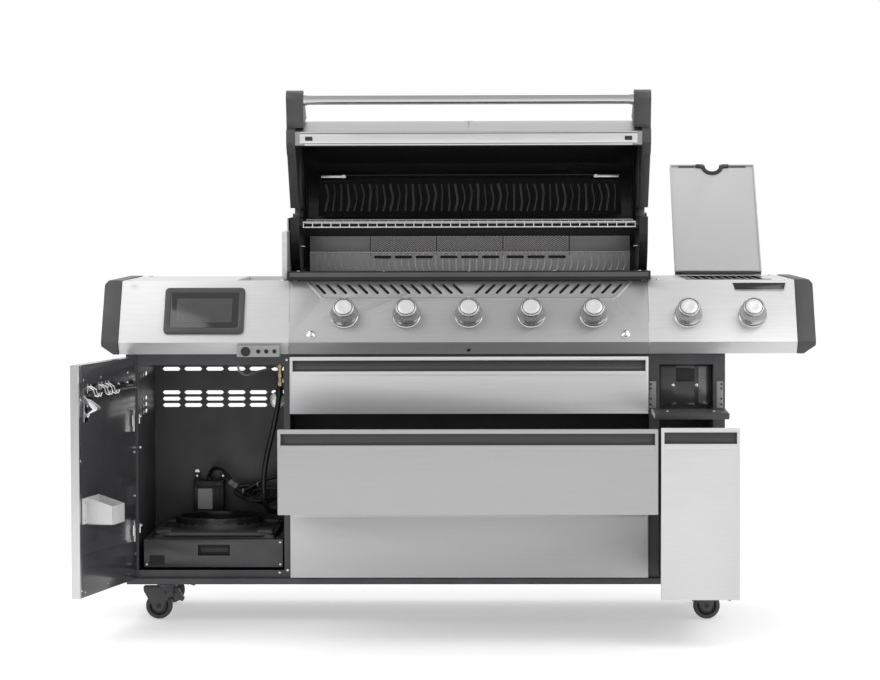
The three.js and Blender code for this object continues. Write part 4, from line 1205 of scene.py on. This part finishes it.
def runner_latches():
    """A latch on the front end of each moving runner, which is drawn out half as far as its box."""
    for name, (x0, x1, z) in RUNNERS.items():
        y = 30 - FRONTS[name][2] / 2
        latch = Shape()
        for x in (x0, x1):
            latch.box((x - 2.2, x + 2.2), (y - 3, y + 24), (z - 6, z + 6), 1.2)
            latch.tube([(x, y - 2, z + 6), (x, y - 8, z + 12), (x, y + 6, z + 15),
                        (x, y + 14, z + 9)], 1.6, 8)
            latch.spin([(0, x - 3), (4, x - 3), (4, x + 3), (0, x + 3)], (0, y + 12, z), "X", 16)
        finish_piece(f"{name}_latches", latch, f"{name}_rails", "chrome")


def flap_details():
    """The flap's dark inner tray with a lip, its screws, and the two side brackets."""
    tray = Shape().box((502, 699), (9.2, 10.4), (4, 148), 0.4)
    tray.box((506, 695), (10.2, 11.4), (40, 44), 0.5)
    tray.box((576, 612), (10.2, 12.2), (30, 36), 0.6)
    tray.box((501, 700), (-5.2, 10.4), (152.9, 154.1), 0.5)
    finish_piece("flap_inner", tray, "flap", "cabinet_dark", FLAP)
    head = [(0, 10.2), (4.4, 10.2), (4.2, 12), (0, 12.8)]
    spots = upright_spots([(538, 78), (664, 78)])
    turned_heads("flap_screws", "flap", "chrome", head, spots, FLAP, steps=16)
    brackets = Shape()
    for x0, x1 in ((494, 513), (678, 697)):
        brackets.box((x0, x1), (21.5, 24), (586, 660), 0.8)
        brackets.box((x0, x0 + 2), (21.5, 34), (586, 660), 0.6)
    finish_piece("flap_brackets", brackets, "cart", "bracket_steel")
    head = [(0, 21.6), (3.0, 21.6), (2.8, 20.2), (0, 19.8)]
    spots = upright_spots([(x, z) for x in (498.5, 692) for z in (596, 612, 640, 652)])
    turned_heads("bracket_screws", "cart", "black_plastic", head, spots, steps=12)


def bin_front():
    """The glossy front of the small bin: a flanged panel with a finger pocket and two screws."""
    x0, x1, z0, z1, y = 523, 667, 592, 701.5, 78
    left, right, low, high = 571, 621, 656, 692
    thick = (y, y + 3.4)
    panel = Shape().box((x0, left), thick, (z0, z1), 0.8)
    panel.box((right, x1), thick, (z0, z1), 0.8)
    panel.box((left - 0.5, right + 0.5), thick, (z0, low), 0.4)
    panel.box((left - 0.5, right + 0.5), thick, (high, z1), 0.4)
    finish_piece("bin_front_panel", panel, "cart", "bin_gloss")
    # A lighter strip near the panel's right edge is a painted highlight.
    bright = Shape().box((x1 - 34, x1 - 12), (y - 0.6, y + 1), (z0 + 4, z1 - 3), 0.5)
    finish_piece("bin_edge_highlight", bright, "cart", "bin_highlight_paint")
    back = Shape().box((516, 676), (y + 5, y + 7), (579, 706))
    finish_piece("bin_shadow", back, "cart", "soot_and_shade_black")
    inset = Shape().box((left - 1, right + 1), (y + 2.2, y + 3.6), (low - 1, high + 1), 0.3)
    finish_piece("bin_pocket", inset, "cart", "black_plastic")
    head = [(0, y), (5, y), (4.8, y - 2), (2.6, y - 3), (0, y - 3)]
    spots = upright_spots([(562.5, 645), (628, 645)])
    turned_heads("bin_screws", "cart", "chrome", head, spots, steps=18)


def side_lid_details():
    """Rubber trim round the side lid's notch, a hem along its free edge and a hinge rod."""
    edge = SIDE_LID_EDGE
    middle = SIDE_BURNER[0]
    inner = [(middle - 50, edge - 1.6), (middle - 28, edge - 1.6), (middle - 23, edge + 2.5)]
    outer = [(middle + 50, edge + 11), (middle + 36, edge + 11.5)]
    for k in range(13):
        turn = math.radians(180 - 15 * k)
        inner.append((middle + 20.6 * math.cos(turn), edge + 6 + 20.6 * math.sin(turn)))
    inner += [(middle + 23, edge + 2.5), (middle + 28, edge - 1.6), (middle + 50, edge - 1.6)]
    for k in range(11):
        turn = math.radians(15 + 15 * k)
        outer.append((middle + 32.5 * math.cos(turn), edge + 6 + 32.5 * math.sin(turn)))
    outer += [(middle - 36, edge + 11.5), (middle - 50, edge + 11)]
    trim = Shape().plate(inner + outer, -8, 13.4, "Z", 1.6)
    finish_piece("side_lid_grip", trim, "side_lid", "rubber", SIDE_LID)
    hem = Shape()
    for side in SIDES:
        hem.box(flank(side, 52, 100, middle), (edge + 5, edge + 10),
                (-5.4, -3.4), 0.5)
    # The hem is drawn in the same dark steel that paints shade in the finger recesses.
    finish_piece("side_lid_hem", hem, "side_lid", "recess_shade_and_hem_steel", SIDE_LID)
    rod = Shape().tube([(612, 500, 944), (824, 500, 944)], 4.0, 14)
    finish_piece("side_lid_rod", rod, "cart", "cast_grey")


def side_burner_grid():
    """Round bars over the side burner and a cap on its burner."""
    grid = Shape()
    for k in range(9):
        x = 634 + 21 * k
        grid.tube([(x, 114, 929.5), (x, 130, 933.5), (x, 460, 933.5), (x, 476, 929.5)], 3.4, 8)
    for y in (243, 347):
        grid.tube([(609, y, 928.8), (828, y, 928.8)], 3.0, 8)
    finish_piece("side_grid_bars", grid, "cart", "grid_iron", sharp=50)
    cap = Shape().spin([(0, 896), (52, 896), (56, 900), (54, 908), (36, 913), (0, 914)],
                       (*SIDE_BURNER, 0), "Z", 48)
    finish_piece("side_burner_cap", cap, "cart", "black_enamel")


grip_linings()
box_rims()
runner_latches()
flap_details()
bin_front()
side_lid_details()
side_burner_grid()


# ---------------------------------------------------------------- casters

AXLE = 37  # height of the wheels' axles
TRAIL = 22  # from the swivel's axis to the axle
CASTER_PLACES = {
    "front_left_caster": (-838, 70),
    "rear_left_caster": (-838, 405),
    "front_right_caster": (677, 70),
    "rear_right_caster": (677, 405),
}


def cheek_outline():
    """One fork cheek about its axle: wide at the crown, narrowing to a round nose."""
    nose = []
    for k in range(9):
        turn = math.radians(205 + 130 * k / 8)
        nose.append((15 * math.cos(turn), 15 * math.sin(turn)))
    return [(-42, 53), (-42, 42), (-31, 22), (-20, 3)] + nose + [
        (18.5, 8), (25, 21), (31, 26), (40, 27), (42, 53)]


def caster(name, x, y):
    """A pressed fork with bolts and a foot brake, and a grooved tyre on a hub."""
    axle = x - TRAIL
    fork = Shape()
    for side in SIDES:
        fork.plate([(axle + a, AXLE + b) for a, b in cheek_outline()],
                   *flank(side, 15.4, 18.2, y), "Y", 0.7)
    fork.box((axle - 42, axle + 42), (y - 18.2, y + 18.2), (88.5, 91), 0.8)
    fork.spin([(0, 91), (27, 91), (28, 93), (28, 97), (25, 99), (24, 102.6), (0, 102.6)],
              (x, y, 0), "Z", 40)
    finish_piece(f"{name}_fork_body", fork, name, "caster_grey", replaces=(f"{name}_fork",))
    brake = Shape()
    brake.plate([(axle + 30, 66), (axle + 44, 88), (axle + 54, 84), (axle + 63, 65),
                 (axle + 70, 58), (axle + 66, 49), (axle + 50, 54), (axle + 46, 51),
                 (axle + 40, 60)], y - 13, y + 13, "Y", 1.6)
    finish_piece(f"{name}_brake", brake, name, "caster_grey")
    bolts = Shape()
    for dx, z, r in ((0, AXLE, 6.2), (19.5, 75, 4.0), (43, 74, 4.4)):
        for side in SIDES:
            h = side * 18.0
            bolts.spin([(0, h), (r, h), (r, h + side * 2.2), (r * 0.45, h + side * 2.4),
                        (r * 0.4, h + side * 1.2), (0, h + side * 1.2)], (axle + dx, y, z), "Y", 20)
    finish_piece(f"{name}_bolts", bolts, name, "black_plastic")
    tyre = Shape()
    tyre.spin([(24.5, -9.5), (26, -12.4), (31, -13), (34.6, -11.6), (36.6, -8), (37, 0),
               (36.6, 8), (34.6, 11.6), (31, 13), (26, 12.4), (24.5, 9.5)],
              (axle, y, AXLE), "Y", 56)
    finish_piece(f"{name}_tyre", tyre, f"{name}_roller", "tyre", replaces=(f"{name}_wheel",), sharp=40)
    hub = Shape()
    hub.spin([(4.8, -11.6), (12, -11.6), (13, -8), (22, -6.4), (24.8, -8.6), (24.8, 8.6),
              (22, 6.4), (13, 8), (12, 11.6), (4.8, 11.6)], (axle, y, AXLE), "Y", 40)
    finish_piece(f"{name}_hub", hub, f"{name}_roller", "black_plastic")


for caster_name, (caster_x, caster_y) in CASTER_PLACES.items():
    caster(caster_name, caster_x, caster_y)


# ---------------------------------------------------------------- stage

FLOOR_DROP = 0.0004  # metres that the floor lies below the wheels
FOCAL_LENGTH = 124.3
CAMERA_PLACE = (63, -8300, 1166)
CAMERA_AIM = (-78.7, 0, 775.2)
CAMERA_ROLL = -0.0025


def light(name, place, aim, size, brightness):
    """A soft area light of a given surface brightness, aimed at a point."""
    lamp = bpy.data.lights.new(name, "AREA")
    lamp.shape = "RECTANGLE"
    lamp.size, lamp.size_y = size
    lamp.energy = brightness * math.pi * size[0] * size[1]
    holder = bpy.data.objects.new(name, lamp)
    bpy.context.scene.collection.objects.link(holder)
    start = DESIGN @ Vector(place)
    holder.location = start
    holder.rotation_euler = (DESIGN @ Vector(aim) - start).to_track_quat("-Z", "Y").to_euler()


def studio():
    """A pale floor that curves up into a backdrop, and soft lights."""
    mesh = bpy.data.meshes.new("studio_floor")
    half, front, back, bend, top = 30.0, -30.0, 14.0, 6.0, 24.0
    profile = [(front, 0.0), (back - bend, 0.0)]
    for k in range(1, 13):
        turn = math.radians(90 * k / 12)
        profile.append((back - bend + bend * math.sin(turn), bend - bend * math.cos(turn)))
    profile.append((back, top))
    verts = [(x, y, z - FLOOR_DROP) for y, z in profile for x in (-half, half)]
    faces = [(2 * k, 2 * k + 1, 2 * k + 3, 2 * k + 2) for k in range(len(profile) - 1)]
    mesh.from_pydata(verts, [], faces)
    mesh.shade_smooth()
    floor = bpy.data.objects.new("studio_floor", mesh)
    bpy.context.scene.collection.objects.link(floor)
    n = Nodes("studio_paper")
    n.set(Specular_IOR_Level=0.2)
    mottled = noise(n, 1.2)
    blended(n, mottled, shade_of(0.80), shade_of(0.81))
    n.set(Emission_Color=(1, 1, 1, 1), Emission_Strength=0.40)
    n.link(ranged(n, mottled, 0.62, 0.70), n.shader.inputs["Roughness"])
    mesh.materials.append(n.material)

    light("left_softbox", (-2200, -1500, 2900), (-900, 100, 850), (2.6, 2.0), 1.7)
    light("right_softbox", (2300, -1500, 2900), (900, 100, 850), (2.6, 2.0), 2.0)
    light("top_softbox", (0, 900, 3600), (0, 600, 900), (4.0, 1.6), 1.6)


def sky():
    """An even pale surround, a little darker high up, for the metals to mirror."""
    world = bpy.data.worlds.new("surround")
    bpy.context.scene.world = world
    world.use_nodes = True
    tree = world.node_tree
    back = tree.nodes["Background"]
    source = tree.nodes.new("ShaderNodeTexCoord")
    parts = tree.nodes.new("ShaderNodeSeparateXYZ")
    ramp = tree.nodes.new("ShaderNodeValToRGB")
    tree.links.new(source.outputs["Generated"], parts.inputs[0])
    mapped = tree.nodes.new("ShaderNodeMapRange")
    mapped.inputs["From Min"].default_value = -1.0
    mapped.inputs["From Max"].default_value = 1.0
    tree.links.new(parts.outputs["Z"], mapped.inputs["Value"])
    tree.links.new(mapped.outputs["Result"], ramp.inputs["Fac"])
    ramp.color_ramp.elements[0].position = 0.45
    ramp.color_ramp.elements[0].color = (0.80, 0.80, 0.81, 1)
    ramp.color_ramp.elements[1].position = 0.72
    ramp.color_ramp.elements[1].color = (0.62, 0.62, 0.63, 1)
    tree.links.new(ramp.outputs["Color"], back.inputs["Color"])
    back.inputs["Strength"].default_value = 1.0


def camera():
    """The view from the front and slightly above, on a long lens."""
    lens = bpy.data.cameras.new("camera")
    lens.lens = FOCAL_LENGTH
    lens.sensor_width = 36.0
    lens.clip_end = 100.0
    holder = bpy.data.objects.new("camera", lens)
    bpy.context.scene.collection.objects.link(holder)
    start = DESIGN @ Vector(CAMERA_PLACE)
    aim = DESIGN @ Vector(CAMERA_AIM)
    holder.location = start
    facing = (aim - start).to_track_quat("-Z", "Y")
    holder.rotation_euler = (facing @ Quaternion((0, 0, 1), CAMERA_ROLL)).to_euler()
    bpy.context.scene.camera = holder


def picture():
    """Plain colour handling, so that the pale surround stays pale."""
    settings = bpy.context.scene.view_settings
    settings.view_transform = "Standard"
    settings.look = "None"
    settings.exposure = 0.0


studio()
sky()
camera()
picture()
